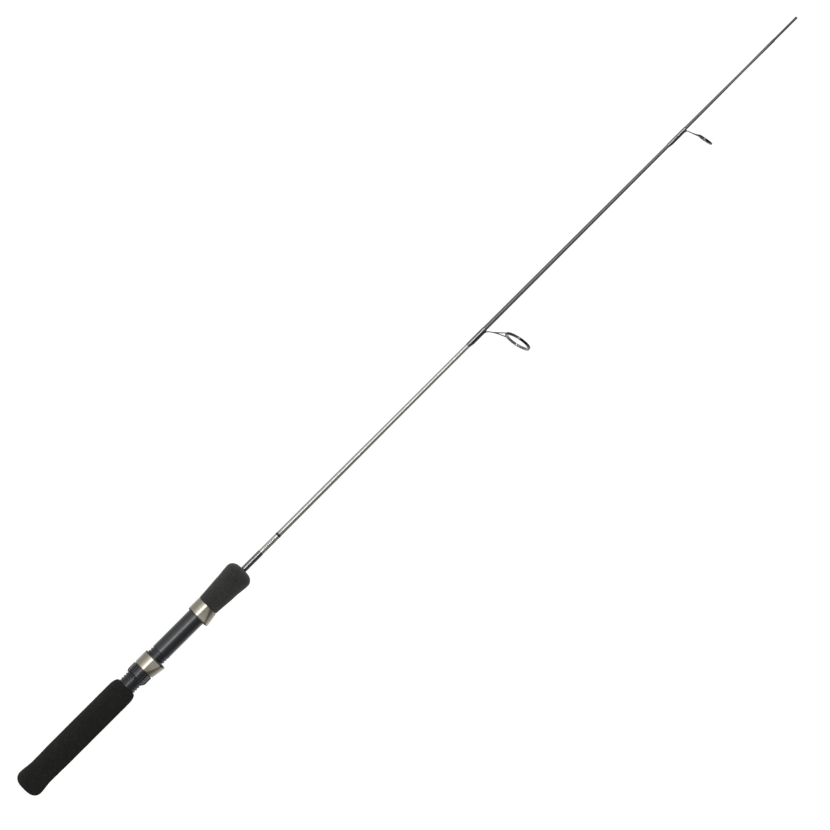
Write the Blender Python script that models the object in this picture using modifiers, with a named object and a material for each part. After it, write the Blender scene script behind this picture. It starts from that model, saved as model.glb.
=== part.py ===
"""Butt section of a two-piece spinning rod: handle, screw reel seat, blank, two guides and spigot.

The rod lies along +X with the flat of its butt on x = 0. The reel and the guides are on the -Y side.
Sizes below are in millimetres, and the mesh helpers turn them into metres.
"""

import math

import bmesh
import bpy
from mathutils import Matrix, Vector

METRES_PER_MM = 0.001

# Lengths along the rod, and where they put each piece, measured from the butt face.
SECTION_LENGTH = 1016.5
SPIGOT_BARE = 30.0
REAR_GRIP_LENGTH = 134.5
SEAT_LENGTH = 107.0
FORE_GRIP_LENGTH = 47.1
HANDLE_WRAP_LENGTH = 23.3
LABEL_BAND_LENGTH = 21.4
TRIM_RING_LENGTH = 2.3
SEAT_START = REAR_GRIP_LENGTH
SEAT_END = SEAT_START + SEAT_LENGTH
FORE_GRIP_END = SEAT_END + FORE_GRIP_LENGTH
BLANK_START = 6.0
BLANK_END = SECTION_LENGTH - SPIGOT_BARE

# Blank: a tapered tube. Its diameters and walls stand at shares of its length.
BLANK_BUTT_DIAMETER = 6.0
BLANK_TAPER = (
    (0.0, 1.0),
    (0.29, 0.925),
    (0.412, 0.875),
    (0.494, 0.767),
    (0.589, 0.742),
    (0.672, 0.708),
    (0.751, 0.65),
    (0.83, 0.567),
    (0.908, 0.517),
    (1.0, 0.492),
)
BLANK_WALLS = ((0.0, 0.75), (0.29, 0.7), (0.589, 0.58), (0.83, 0.42), (1.0, 0.3))
SPIGOT_GRIPPED = 42.0
SPIGOT_CHAMFER = 0.25

# Clearances.
SLIDING_FIT = 0.15
THREAD_CLEARANCE = 0.2
GLUED_FIT = 0.05
COAT_FIT = 0.02
END_GAP = 0.3
CUT_PAST = 5.0

# Reel seat barrel and its thread.
BARREL_RADIUS = 9.15
BARREL_BORE_RADIUS = BARREL_RADIUS - 3.15
BARREL_CHAMFER = 0.4
THREAD_PITCH = 3.0
THREAD_DEPTH = 0.7
THREAD_ROOT_WIDTH = 0.3 * THREAD_PITCH
THREAD_MOUTH_WIDTH = 0.7 * THREAD_PITCH
THREAD_FIRST_X = SEAT_START - 2.2
THREAD_TURNS = 16
THREAD_END = THREAD_FIRST_X + THREAD_TURNS * THREAD_PITCH
THREAD_OVERCUT = 0.25
KEYWAY_WIDTH = 3.0
KEYWAY_FLOOR_RADIUS = BARREL_RADIUS - THREAD_DEPTH - 0.35
FOOT_FLAT_HEIGHT = BARREL_RADIUS - 0.45
FOOT_FLAT_MARGIN = 2.7
ARBOR_COUNT = 3
ARBOR_LENGTH = 20.0
ARBOR_MARGIN = 3.5

# Foam grips. The fore grip's sides are (distance from its rear, height over the barrel).
BUTT_FLAT_RADIUS = 5.1
KNOB_X = 8.3
KNOB_RADIUS = 14.1
NECK_X = 23.4
NECK_RADIUS = 12.8
GRIP_RADIUS = 13.15
GRIP_FULL_X = 49.5
GRIP_SHOULDER_LENGTH = 9.5
GRIP_FRONT_RADIUS = BARREL_RADIUS + 0.55
FORE_GRIP_SIDES = ((0.8, 1.85), (10.5, 2.5), (21.7, 3.4), (25.4, 3.45), (29.2, 3.85), (36.6, 4.7))
FORE_GRIP_REAR_RADIUS = BARREL_RADIUS + 1.25
FORE_GRIP_NOSE_LENGTH = 7.5
FORE_GRIP_FLAT_RADIUS = 4.9

# Lock nut.
NUT_START = SEAT_START + 11.2
NUT_LENGTH = 11.6
NUT_RADIUS = BARREL_RADIUS + 1.8
NUT_CHAMFER_LENGTH = 2.3
NUT_CHAMFER_DEPTH = 1.2
NUT_NECK_RADIUS = BARREL_RADIUS + 0.8
NUT_NECK_LENGTH = 1.5
NUT_THREAD_TURNS = int((NUT_LENGTH - THREAD_MOUTH_WIDTH) / THREAD_PITCH)
RIB_COUNT = 24
RIB_DEPTH = 0.6

# Hoods: a metal shell over a plastic liner, with a pocket for one end of the reel's foot.
HOOD_LENGTH = 13.2
HOOD_HALF_WIDTH = BARREL_RADIUS + 1.8
HOOD_BACK_HEIGHT = BARREL_RADIUS + 2.05
HOOD_MOUTH_HEIGHT = BARREL_RADIUS + 3.45
HOOD_CORNER_RADIUS = 2.6
HOOD_CONE_BACK_RADIUS = BARREL_RADIUS + 2.45
HOOD_CONE_MOUTH_RADIUS = BARREL_RADIUS + 6.75
HOOD_WALL = 0.5
LINER_RIM = 1.4
POCKET_DEPTH = 10.0
POCKET_MOUTH = (0.9 * BARREL_RADIUS, BARREL_RADIUS + 2.4)
POCKET_BACK = (0.59 * BARREL_RADIUS, BARREL_RADIUS + 0.95)
POCKET_CORNER = 0.9
POCKET_INNER_RADIUS = BARREL_RADIUS - 2.0
OUTLINE_STEPS = 18
CORNER_STEPS = 5

# The sliding hood can't turn: its lug runs in the barrel's keyway, forward by up to HOOD_TRAVEL.
SLIDING_HOOD_BACK = NUT_START + NUT_LENGTH + END_GAP
NECK_RECESS_LENGTH = NUT_NECK_LENGTH + 2 * END_GAP
LUG_START = SLIDING_HOOD_BACK + NECK_RECESS_LENGTH + 1.0
LUG_END = LUG_START + 8.0
HOOD_TRAVEL = 20.0
KEYWAY_END = LUG_END + HOOD_TRAVEL + END_GAP

# Thicknesses of what is wound or painted on the blank.
THREAD_THICKNESS = 0.16
EPOXY_THICKNESS = 0.14
LABEL_THICKNESS = 0.1
SILVER_THICKNESS = 0.12
TRIM_THICKNESS = 0.28
COAT_LIP = 0.1
COAT_SHOULDER = 0.9
THREAD_INSET = 0.4
THREAD_SHOULDER = 0.2
SHOULDER_DROP = 0.12

# How finely each kind of piece is turned.
GRIP_SEGMENTS = 32
SEAT_SEGMENTS = 24
BLANK_SEGMENTS = 16
ARC_STEPS = 6
SHARP_ANGLE = math.radians(32)


class Guide:
    """Sizes of one line guide, in millimetres and degrees.

    wrap_share places the start of its winding on the open blank. The ring's centre is given from that start.
    """

    def __init__(self, name, wrap_share, wrap_length, ring_centre, ring, bands, lean, wire, foot, segments):
        self.name = name
        self.wrap_start = FORE_GRIP_END + wrap_share * (BLANK_END - FORE_GRIP_END)
        self.wrap_end = self.wrap_start + wrap_length
        self.ring_x = self.wrap_start + ring_centre[0]
        self.ring_offset = ring_centre[1]
        self.ring_radius, self.ring_depth = ring[0] / 2, ring[1]
        self.hoop_width, self.cushion_width, self.insert_width = bands
        self.tilt, self.twist = math.radians(lean[0]), math.radians(lean[1])
        self.wire_radius = wire / 2
        self.foot_half_width, self.foot_half_height = foot
        self.segments = segments


GUIDES = (
    Guide(
        name="guide_1",
        wrap_share=0.4231,
        wrap_length=20.4,
        ring_centre=(35.5, 30.2),
        ring=(27.0, 2.3),
        bands=(0.85, 0.55, 1.0),
        lean=(13.5, -12.0),
        wire=1.05,
        foot=(0.95, 0.24),
        segments=32,
    ),
    Guide(
        name="guide_2",
        wrap_share=0.7994,
        wrap_length=21.5,
        ring_centre=(28.8, 20.5),
        ring=(15.5, 2.1),
        bands=(0.7, 0.45, 0.8),
        lean=(11.0, 0.0),
        wire=0.9,
        foot=(0.75, 0.2),
        segments=24,
    ),
)
LEG_RING_ANGLE = math.radians(32)
LEG_KNEE_SHARE = 0.385
LEG_SPREAD = 1.05
EPOXY_TAIL = 2.4

# The guide's foot: how far it starts inside its winding and ends past it, and how much thinner its start is.
FOOT_INSET = 1.5
FOOT_PAST = 0.6
FOOT_FIRST_SHARE = 0.6
FOOT_ROOM = 0.06
FOOT_SIDE_ROOM = 0.12

# The ridge that the winding makes over the foot: its width against the foot's, its ramp and its rounded end.
RIDGE_WIDTH_SHARE = 1.45
RIDGE_RAMP = (0.6, 4.0)
RIDGE_RAMP_SHARE = 0.55
RIDGE_END = (0.8, 0.25)

# The slot in the winding's end through which the legs leave.
NOTCH_LENGTH = 1.6
NOTCH_SIDE = 0.25
NOTCH_HEIGHT = 12.0


# ---------------------------------------------------------------- scene and objects


def clear_scene():
    for obj in list(bpy.data.objects):
        bpy.data.objects.remove(obj, do_unlink=True)


def new_collection(name, helpers=False):
    collection = bpy.data.collections.new(name)
    bpy.context.scene.collection.children.link(collection)
    collection.hide_render = helpers
    return collection


def material(name, colour, roughness, metallic=0.0):
    made = bpy.data.materials.new(name)
    made.use_nodes = True
    shader = made.node_tree.nodes["Principled BSDF"]
    shader.inputs["Base Color"].default_value = (*colour, 1.0)
    shader.inputs["Roughness"].default_value = roughness
    shader.inputs["Metallic"].default_value = metallic
    made.diffuse_color = (*colour, 1.0)
    return made


def add_helper(name, mesh):
    """An object that only shapes others."""
    obj = bpy.data.objects.new(name, mesh)
    bpy.data.collections["cutters"].objects.link(obj)
    obj.hide_render = True
    obj.display_type = "WIRE"
    return obj


def combine(obj, other, operation):
    modifier = obj.modifiers.new(f"{operation}_{other.name}", "BOOLEAN")
    modifier.operation = operation
    modifier.solver = "EXACT"
    modifier.object = other


def evaluated_mesh(obj):
    bpy.context.view_layer.update()
    graph = bpy.context.evaluated_depsgraph_get()
    mesh = bpy.data.meshes.new_from_object(obj.evaluated_get(graph))
    shape = bmesh.new()
    shape.from_mesh(mesh)
    bmesh.ops.remove_doubles(shape, verts=shape.verts, dist=0.001 * METRES_PER_MM)
    bmesh.ops.dissolve_degenerate(shape, edges=shape.edges, dist=0.0001 * METRES_PER_MM)
    bmesh.ops.recalc_face_normals(shape, faces=shape.faces)
    shape.to_mesh(mesh)
    shape.free()
    return mesh


def finish(name, shape, surface):
    """The finished piece made from a helper shape, shaded smooth where it is round."""
    mesh = evaluated_mesh(shape)
    mesh.name = name
    mesh.materials.clear()
    mesh.materials.append(surface)
    mesh.shade_smooth()
    mesh.set_sharp_from_angle(angle=SHARP_ANGLE)
    obj = bpy.data.objects.new(name, mesh)
    bpy.data.collections["spinning_rod"].objects.link(obj)
    obj.matrix_world = shape.matrix_world
    return obj


# ---------------------------------------------------------------- shapes


def blank_share(x):
    return (x - BLANK_START) / (BLANK_END - BLANK_START)


def blank_x(share):
    return BLANK_START + share * (BLANK_END - BLANK_START)


def blank_radius(x):
    return BLANK_BUTT_DIAMETER / 2 * along(BLANK_TAPER, blank_share(x))


def blank_bore(x):
    return blank_radius(x) - along(BLANK_WALLS, blank_share(x))


def stations_between(start, end):
    """The blank's own stations between two places, with both places."""
    inner = [blank_x(share) for share, _ in BLANK_TAPER]
    return [start] + [x for x in inner if start < x < end] + [end]


def along(stations, x):
    """The value at x on straight lines between (x, value) stations."""
    x = min(max(x, stations[0][0]), stations[-1][0])
    for (x0, v0), (x1, v1) in zip(stations, stations[1:]):
        if x <= x1:
            return v0 + (v1 - v0) * (x - x0) / (x1 - x0)
    return stations[-1][1]


def quarter(centre, radii, start, steps=ARC_STEPS):
    """Points on a quarter of an ellipse in (x, radius), from the angle start for 90 degrees."""
    turns = [start + math.pi / 2 * i / steps for i in range(steps + 1)]
    return [(centre[0] + radii[0] * math.cos(a), centre[1] + radii[1] * math.sin(a)) for a in turns]


def eased(start, end, steps=ARC_STEPS):
    """Points of an S-shaped change of radius between two (x, radius) points, without the first."""
    points = []
    for i in range(1, steps + 1):
        share = i / steps
        blend = (1 - math.cos(math.pi * share)) / 2
        points.append((start[0] + (end[0] - start[0]) * share, start[1] + (end[1] - start[1]) * blend))
    return points


def turned(name, outline, segments=SEAT_SEGMENTS, pitch=0.0, turns=1):
    """Turns (x, radius) points about the rod's axis.

    They run along the outer side from tip to butt, and then along any bore back again.

    A pitch sweeps the outline along a right-hand helix instead, and its two ends are then capped.
    """
    mesh = bpy.data.meshes.new(name)
    points = [(radius * METRES_PER_MM, 0.0, x * METRES_PER_MM) for x, radius in outline]
    count = len(points)
    on_axis = outline[0][1] == 0 and outline[-1][1] == 0
    edges = [(i, (i + 1) % count) for i in range(count - 1 if on_axis else count)]
    mesh.from_pydata(points, edges, [])
    obj = add_helper(name, mesh)
    obj.rotation_euler = (0.0, math.pi / 2, 0.0)
    screw = obj.modifiers.new("turn", "SCREW")
    screw.axis = "Z"
    screw.angle = 2 * math.pi
    screw.steps = segments
    screw.render_steps = segments
    screw.screw_offset = pitch * METRES_PER_MM
    screw.iterations = turns
    screw.use_merge_vertices = pitch == 0
    screw.merge_threshold = 0.00001
    obj.data = flat_ended(evaluated_mesh(obj))
    obj.modifiers.clear()
    return obj


def flat_ended(mesh):
    """Gives a turned mesh one flat face at each end.

    It covers a helix's open ends, and takes the place of a fan about the axis.
    """
    shape = bmesh.new()
    shape.from_mesh(mesh)
    poles = [v for v in shape.verts if v.co.xy.length < COAT_FIT * METRES_PER_MM]
    bmesh.ops.dissolve_verts(shape, verts=poles)
    bmesh.ops.holes_fill(shape, edges=[e for e in shape.edges if e.is_boundary], sides=0)
    bmesh.ops.recalc_face_normals(shape, faces=shape.faces)
    shape.to_mesh(mesh)
    shape.free()
    return mesh


def tube(name, start, end, outer, bore, segments=SEAT_SEGMENTS):
    return turned(name, [(end, outer), (start, outer), (start, bore), (end, bore)], segments)


def rod(name, start, end, radius, segments=SEAT_SEGMENTS):
    return turned(name, [(end, 0.0), (end, radius), (start, radius), (start, 0.0)], segments)


def loft(name, first, first_x, last, last_x):
    """A solid between two outlines of (y, z) points, square to the rod."""
    shape = bmesh.new()
    loops = []
    for outline, x in ((first, first_x), (last, last_x)):
        verts = [shape.verts.new(Vector((x, y, z)) * METRES_PER_MM) for y, z in outline]
        loops.append([shape.edges.new((a, b)) for a, b in zip(verts, verts[1:] + verts[:1])])
        bmesh.ops.contextual_create(shape, geom=verts)
    bmesh.ops.bridge_loops(shape, edges=loops[0] + loops[1])
    bmesh.ops.recalc_face_normals(shape, faces=shape.faces)
    mesh = bpy.data.meshes.new(name)
    shape.to_mesh(mesh)
    shape.free()
    return add_helper(name, mesh)


def box(name, x, y, z):
    """A box between three pairs of limits."""
    outline = [(y[0], z[0]), (y[1], z[0]), (y[1], z[1]), (y[0], z[1])]
    return loft(name, outline, x[0], outline, x[1])


def wire(name, points, radius):
    """A round wire through the points."""
    curve = bpy.data.curves.new(name, "CURVE")
    curve.dimensions = "3D"
    curve.bevel_depth = radius * METRES_PER_MM
    curve.bevel_resolution = 2
    curve.use_fill_caps = True
    curve.resolution_u = 3
    spline = curve.splines.new("BEZIER")
    spline.bezier_points.add(len(points) - 1)
    for knot, point in zip(spline.bezier_points, points):
        knot.co = Vector(point) * METRES_PER_MM
        knot.handle_left_type = "AUTO"
        knot.handle_right_type = "AUTO"
    path = add_helper(name + "_path", curve)
    return add_helper(name, evaluated_mesh(path))


def elliptic_bar(name, start, end, half_height, half_width, centre_y, first_share=1.0):
    """A bar of elliptic section along the rod, thinner at its start by first_share."""
    shape = bmesh.new()
    bmesh.ops.create_cone(
        shape, cap_ends=True, segments=12, radius1=first_share, radius2=1.0, depth=1.0
    )
    to_rod = Matrix(((0, 0, 1, 0), (1, 0, 0, 0), (0, 1, 0, 0), (0, 0, 0, 1)))
    size = Matrix.Diagonal(Vector((end - start, half_height, half_width, 1.0)))
    place = Matrix.Translation(Vector(((start + end) / 2, centre_y, 0.0)))
    scale = Matrix.Scale(METRES_PER_MM, 4)
    bmesh.ops.transform(shape, matrix=scale @ place @ size @ to_rod, verts=shape.verts)
    mesh = bpy.data.meshes.new(name)
    shape.to_mesh(mesh)
    shape.free()
    return add_helper(name, mesh)


# ---------------------------------------------------------------- blank and handle


def build_blank(surface):
    outer = [(x, blank_radius(x)) for x in reversed(stations_between(BLANK_START, BLANK_END))]
    bore = [(blank_x(share), blank_bore(blank_x(share))) for share, _ in BLANK_WALLS[:-1]]
    grip_start = BLANK_END - SPIGOT_GRIPPED - END_GAP
    bore += [(grip_start, blank_bore(BLANK_END)), (BLANK_END, blank_bore(BLANK_END))]
    return finish("blank", turned("blank_shape", outer + bore, BLANK_SEGMENTS), surface)


def build_spigot(surface):
    radius = blank_bore(BLANK_END) - COAT_FIT
    outline = [
        (SECTION_LENGTH, 0.0),
        (SECTION_LENGTH, radius - SPIGOT_CHAMFER),
        (SECTION_LENGTH - 2 * SPIGOT_CHAMFER, radius),
        (BLANK_END - SPIGOT_GRIPPED, radius),
        (BLANK_END - SPIGOT_GRIPPED, 0.0),
    ]
    return finish("spigot", turned("spigot_shape", outline, BLANK_SEGMENTS), surface)


def build_rear_grip(surface):
    shoulder_x = REAR_GRIP_LENGTH - GRIP_SHOULDER_LENGTH
    shoulder = quarter(
        (shoulder_x, GRIP_FRONT_RADIUS), (GRIP_SHOULDER_LENGTH, GRIP_RADIUS - GRIP_FRONT_RADIUS), 0.0
    )
    body = [(GRIP_FULL_X, GRIP_RADIUS)]
    body += eased((GRIP_FULL_X, GRIP_RADIUS), (NECK_X, NECK_RADIUS), 5)
    body += eased((NECK_X, NECK_RADIUS), (KNOB_X, KNOB_RADIUS), 5)
    butt = quarter((KNOB_X, BUTT_FLAT_RADIUS), (KNOB_X, KNOB_RADIUS - BUTT_FLAT_RADIUS), math.pi / 2)[1:]
    outline = [(REAR_GRIP_LENGTH, 0.0)] + shoulder + body + butt + [(0.0, 0.0)]
    grip = turned("rear_grip_shape", outline, GRIP_SEGMENTS)
    bore = blank_radius(BLANK_START) + GLUED_FIT
    blind_end = BLANK_START - END_GAP
    cutter = rod("rear_grip_bore", blind_end, REAR_GRIP_LENGTH + CUT_PAST, bore, BLANK_SEGMENTS)
    combine(grip, cutter, "DIFFERENCE")
    return finish("rear_grip", grip, surface)


def build_fore_grip(surface):
    start = SEAT_END + END_GAP
    nose_x = FORE_GRIP_END - FORE_GRIP_NOSE_LENGTH
    widest = BARREL_RADIUS + FORE_GRIP_SIDES[-1][1]
    nose = quarter(
        (nose_x, FORE_GRIP_FLAT_RADIUS), (FORE_GRIP_NOSE_LENGTH, widest - FORE_GRIP_FLAT_RADIUS), 0.0
    )
    sides = [(start + x, BARREL_RADIUS + height) for x, height in reversed(FORE_GRIP_SIDES)]
    bore = blank_radius(start) + GLUED_FIT
    outline = nose + sides + [(start, FORE_GRIP_REAR_RADIUS), (start, bore), (FORE_GRIP_END, bore)]
    return finish("fore_grip", turned("fore_grip_shape", outline, GRIP_SEGMENTS), surface)


def build_coats(surfaces):
    """What is wound, wrapped or painted on the blank between the fore grip and the first guide."""
    start = FORE_GRIP_END + END_GAP
    wrap_end = FORE_GRIP_END + HANDLE_WRAP_LENGTH
    label_end = wrap_end + LABEL_BAND_LENGTH
    trim_end = label_end + TRIM_RING_LENGTH
    gap = COAT_FIT
    layers = (
        ("handle_thread_wrap", start + THREAD_INSET, wrap_end - THREAD_INSET, THREAD_THICKNESS, "thread"),
        ("label_band", wrap_end + gap, label_end - gap, LABEL_THICKNESS, "label"),
        ("trim_ring", label_end + gap, trim_end - gap, TRIM_THICKNESS, "trim"),
    )
    for name, x0, x1, thickness, surface in layers:
        inner = blank_radius(x0) + gap
        layer = tube(name + "_shape", x0, x1, inner + thickness, inner, BLANK_SEGMENTS)
        finish(name, layer, surfaces[surface])
    build_handle_epoxy(start, wrap_end - gap, surfaces["epoxy"])
    build_silver_coat(trim_end + gap, GUIDES[0].wrap_start - END_GAP, surfaces["silver"])


def build_handle_epoxy(start, end, surface):
    """A clear coat closed over the handle wrap: it meets the blank at both ends of the thread."""
    bare = blank_radius(start) + COAT_FIT
    over_thread = bare + THREAD_THICKNESS + COAT_FIT
    skin = over_thread + EPOXY_THICKNESS
    inner_start = start + THREAD_INSET - COAT_FIT
    inner_end = end - THREAD_INSET + 2 * COAT_FIT
    outline = [
        (end, bare + COAT_LIP),
        (end - COAT_SHOULDER, skin),
        (start + COAT_SHOULDER, skin),
        (start, bare + COAT_LIP),
        (start, bare),
        (inner_start, bare),
        (inner_start, over_thread),
        (inner_end, over_thread),
        (inner_end, bare),
        (end, bare),
    ]
    finish("handle_epoxy", turned("handle_epoxy_shape", outline, BLANK_SEGMENTS), surface)


def build_silver_coat(start, end, surface):
    stations = stations_between(start, end)
    outer = [(x, blank_radius(x) + COAT_FIT + SILVER_THICKNESS) for x in reversed(stations)]
    inner = [(x, blank_radius(x) + COAT_FIT) for x in stations]
    finish("silver_coat", turned("silver_coat_shape", outer + inner, BLANK_SEGMENTS), surface)


# ---------------------------------------------------------------- reel seat


def thread_width(radius):
    """Width of the barrel's thread groove at a radius."""
    root = BARREL_RADIUS - THREAD_DEPTH
    slope = (THREAD_MOUTH_WIDTH - THREAD_ROOT_WIDTH) / THREAD_DEPTH
    return THREAD_ROOT_WIDTH + slope * (radius - root)


def helix(name, first_x, turns, inner, outer, clearance=0.0):
    """A helical bar that fills the thread groove between two radii, less a clearance on each flank."""
    narrow = thread_width(inner) / 2 - clearance
    wide = thread_width(outer) / 2 - clearance
    outline = [
        (first_x + wide, outer),
        (first_x - wide, outer),
        (first_x - narrow, inner),
        (first_x + narrow, inner),
    ]
    return turned(name, outline, SEAT_SEGMENTS, THREAD_PITCH, turns)


def build_barrel(surface):
    start, end = SEAT_START + END_GAP, SEAT_END
    outline = [
        (end, BARREL_RADIUS - BARREL_CHAMFER),
        (end - BARREL_CHAMFER, BARREL_RADIUS),
        (start + BARREL_CHAMFER, BARREL_RADIUS),
        (start, BARREL_RADIUS - BARREL_CHAMFER),
        (start, BARREL_BORE_RADIUS),
        (end, BARREL_BORE_RADIUS),
    ]
    barrel = turned("seat_barrel_shape", outline)
    root, mouth = BARREL_RADIUS - THREAD_DEPTH, BARREL_RADIUS + THREAD_OVERCUT
    combine(barrel, helix("thread_groove", THREAD_FIRST_X, THREAD_TURNS, root, mouth), "DIFFERENCE")
    half = KEYWAY_WIDTH / 2
    beyond = 2 * BARREL_RADIUS
    keyway = box("keyway", (start - CUT_PAST, KEYWAY_END), (-half, half), (-beyond, -KEYWAY_FLOOR_RADIUS))
    combine(barrel, keyway, "DIFFERENCE")
    flat_ends = (THREAD_END + FOOT_FLAT_MARGIN, SEAT_END - HOOD_LENGTH - LINER_RIM - FOOT_FLAT_MARGIN)
    flat = box("foot_flat", flat_ends, (-beyond, -FOOT_FLAT_HEIGHT), (-beyond, beyond))
    combine(barrel, flat, "DIFFERENCE")
    return finish("seat_barrel", barrel, surface)


def build_arbors(surface):
    spacing = (SEAT_LENGTH - 2 * ARBOR_MARGIN - ARBOR_LENGTH) / (ARBOR_COUNT - 1)
    for number in range(ARBOR_COUNT):
        start = SEAT_START + ARBOR_MARGIN + number * spacing
        bore = blank_radius(start) + GLUED_FIT
        outer = BARREL_BORE_RADIUS - GLUED_FIT
        name = f"seat_arbor_{number + 1}"
        finish(name, tube(name + "_shape", start, start + ARBOR_LENGTH, outer, bore), surface)


def hood_outline(inset, height):
    """Half round on top, straight sides down to a flat that spans the reel's foot, as (y, z)."""
    half = HOOD_HALF_WIDTH - inset
    corner = HOOD_CORNER_RADIUS - inset
    height = height - inset
    top = [math.pi * i / OUTLINE_STEPS for i in range(OUTLINE_STEPS + 1)]
    points = [(half * math.sin(a), half * math.cos(a)) for a in top]
    turns = [math.pi / 2 * i / CORNER_STEPS for i in range(CORNER_STEPS + 1)]
    low, out = height - corner, half - corner
    far = [(-low - corner * math.sin(a), -out - corner * math.cos(a)) for a in turns]
    near = [(y, -z) for y, z in reversed(far)]
    return points + far + near


def hood_envelope(name, inset, mouth_x, back_x, past_mouth=0.0, past_back=0.0):
    """The hood's outside, less an inset, and run on past its ends.

    It is a tapering half-round box whose lower edges a cone rounds off.
    """
    forward = 1 if mouth_x > back_x else -1
    slope = (HOOD_MOUTH_HEIGHT - HOOD_BACK_HEIGHT) / HOOD_LENGTH
    body = loft(
        name,
        hood_outline(inset, HOOD_BACK_HEIGHT - slope * past_back),
        back_x - forward * past_back,
        hood_outline(inset, HOOD_MOUTH_HEIGHT + slope * past_mouth),
        mouth_x + forward * past_mouth,
    )
    growth = (HOOD_CONE_MOUTH_RADIUS - HOOD_CONE_BACK_RADIUS) / HOOD_LENGTH * CUT_PAST
    back = (back_x - forward * CUT_PAST, HOOD_CONE_BACK_RADIUS - inset - growth)
    mouth = (mouth_x + forward * CUT_PAST, HOOD_CONE_MOUTH_RADIUS - inset + growth)
    low, high = sorted((back, mouth))
    outline = [(high[0], 0.0), high, low, (low[0], 0.0)]
    combine(body, turned(name + "_cone", outline, 2 * SEAT_SEGMENTS), "INTERSECT")
    return body


def pocket_outline(half_width, height):
    """The reel foot's pocket, as (y, z)."""
    top = height - POCKET_CORNER
    inner = POCKET_INNER_RADIUS
    side = half_width - POCKET_CORNER
    right = [(-inner, -half_width), (-top, -half_width), (-height, -side)]
    return right + [(y, -z) for y, z in reversed(right)]


def build_hood(name, mouth_x, back_x, bore, surfaces, keyed):
    """One hood: a drawn metal shell over a moulded liner with the foot pocket."""
    forward = 1 if mouth_x > back_x else -1
    shell = hood_envelope(name + "_shell_shape", 0.0, mouth_x, back_x)
    hollow = hood_envelope(name + "_inside", HOOD_WALL, mouth_x, back_x, past_mouth=1.0, past_back=1.0)
    combine(shell, hollow, "DIFFERENCE")
    liner = hood_envelope(name + "_liner_shape", HOOD_WALL + GLUED_FIT, mouth_x, back_x, past_mouth=LINER_RIM)
    low, high = sorted((back_x - CUT_PAST * forward, mouth_x + CUT_PAST * forward))
    combine(liner, rod(name + "_bore", low, high, bore), "DIFFERENCE")
    pocket = loft(
        name + "_pocket",
        pocket_outline(*POCKET_BACK),
        mouth_x + forward * (LINER_RIM - POCKET_DEPTH),
        pocket_outline(*POCKET_MOUTH),
        mouth_x + forward * (LINER_RIM + 1.0),
    )
    combine(liner, pocket, "DIFFERENCE")
    if keyed:
        key_liner(name, liner, bore)
    finish(name + "_shell", shell, surfaces["hood"])
    finish(name + "_liner", liner, surfaces["liner"])


def key_liner(name, liner, bore):
    """Gives the sliding hood's liner a recess for the nut's neck and a lug for the keyway."""
    recess_end = SLIDING_HOOD_BACK + NECK_RECESS_LENGTH
    recess_radius = NUT_NECK_RADIUS + SLIDING_FIT
    recess = rod(name + "_recess", SLIDING_HOOD_BACK - CUT_PAST, recess_end, recess_radius)
    combine(liner, recess, "DIFFERENCE")
    half = KEYWAY_WIDTH / 2 - END_GAP
    below = (-(bore + HOOD_WALL), -(KEYWAY_FLOOR_RADIUS + END_GAP))
    combine(liner, box(name + "_lug", (LUG_START, LUG_END), (-half, half), below), "UNION")


def rib_outline():
    """The knurl: blunt ribs round the nut, as (y, z)."""
    points = []
    step = 2 * math.pi / RIB_COUNT
    low = NUT_RADIUS - RIB_DEPTH
    for number in range(RIB_COUNT):
        for share, radius in ((0.0, low), (0.22, low), (0.42, NUT_RADIUS), (0.8, NUT_RADIUS)):
            angle = step * (number + share)
            points.append((radius * math.cos(angle), radius * math.sin(angle)))
    return points


def build_lock_nut(surface):
    end = NUT_START + NUT_LENGTH
    bore = BARREL_RADIUS + SLIDING_FIT
    nut = loft("lock_nut_shape", rib_outline(), NUT_START, rib_outline(), end)
    beyond = NUT_RADIUS + 1.0
    envelope = [
        (end + 1.0, 0.0),
        (end + 1.0, beyond),
        (NUT_START + NUT_CHAMFER_LENGTH, NUT_RADIUS + COAT_FIT),
        (NUT_START, NUT_RADIUS - NUT_CHAMFER_DEPTH),
        (NUT_START - 1.0, NUT_RADIUS - NUT_CHAMFER_DEPTH),
        (NUT_START - 1.0, 0.0),
    ]
    combine(nut, turned("lock_nut_envelope", envelope, 2 * SEAT_SEGMENTS), "INTERSECT")
    neck = rod("lock_nut_neck", end - NUT_NECK_LENGTH, end + NUT_NECK_LENGTH, NUT_NECK_RADIUS)
    combine(nut, neck, "UNION")
    combine(nut, rod("lock_nut_bore", NUT_START - CUT_PAST, end + CUT_PAST, bore), "DIFFERENCE")
    skipped = math.ceil((NUT_START + THREAD_MOUTH_WIDTH / 2 - THREAD_FIRST_X) / THREAD_PITCH)
    tip = BARREL_RADIUS - THREAD_DEPTH + THREAD_CLEARANCE
    ridge = helix(
        "lock_nut_ridge",
        THREAD_FIRST_X + skipped * THREAD_PITCH,
        NUT_THREAD_TURNS,
        tip,
        bore + THREAD_OVERCUT,
        THREAD_CLEARANCE,
    )
    combine(nut, ridge, "UNION")
    return finish("lock_nut", nut, surface)


# ---------------------------------------------------------------- guides


def guide_frame_matrix(guide):
    """Places a ring turned about +X: centred off the rod, leaning to the tip and turned on its stem."""
    stem = Vector((math.sin(guide.tilt), -math.cos(guide.tilt), 0.0))
    normal = Vector((math.cos(guide.tilt), math.sin(guide.tilt), 0.0))
    side = normal.cross(stem)
    turn = Matrix.Rotation(guide.twist, 3, stem)
    normal, side = turn @ normal, turn @ side
    axes = Matrix((normal, -stem, -side)).transposed()
    centre = Vector((guide.ring_x, -guide.ring_offset, 0.0)) * METRES_PER_MM
    return Matrix.Translation(centre) @ axes.to_4x4()


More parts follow.
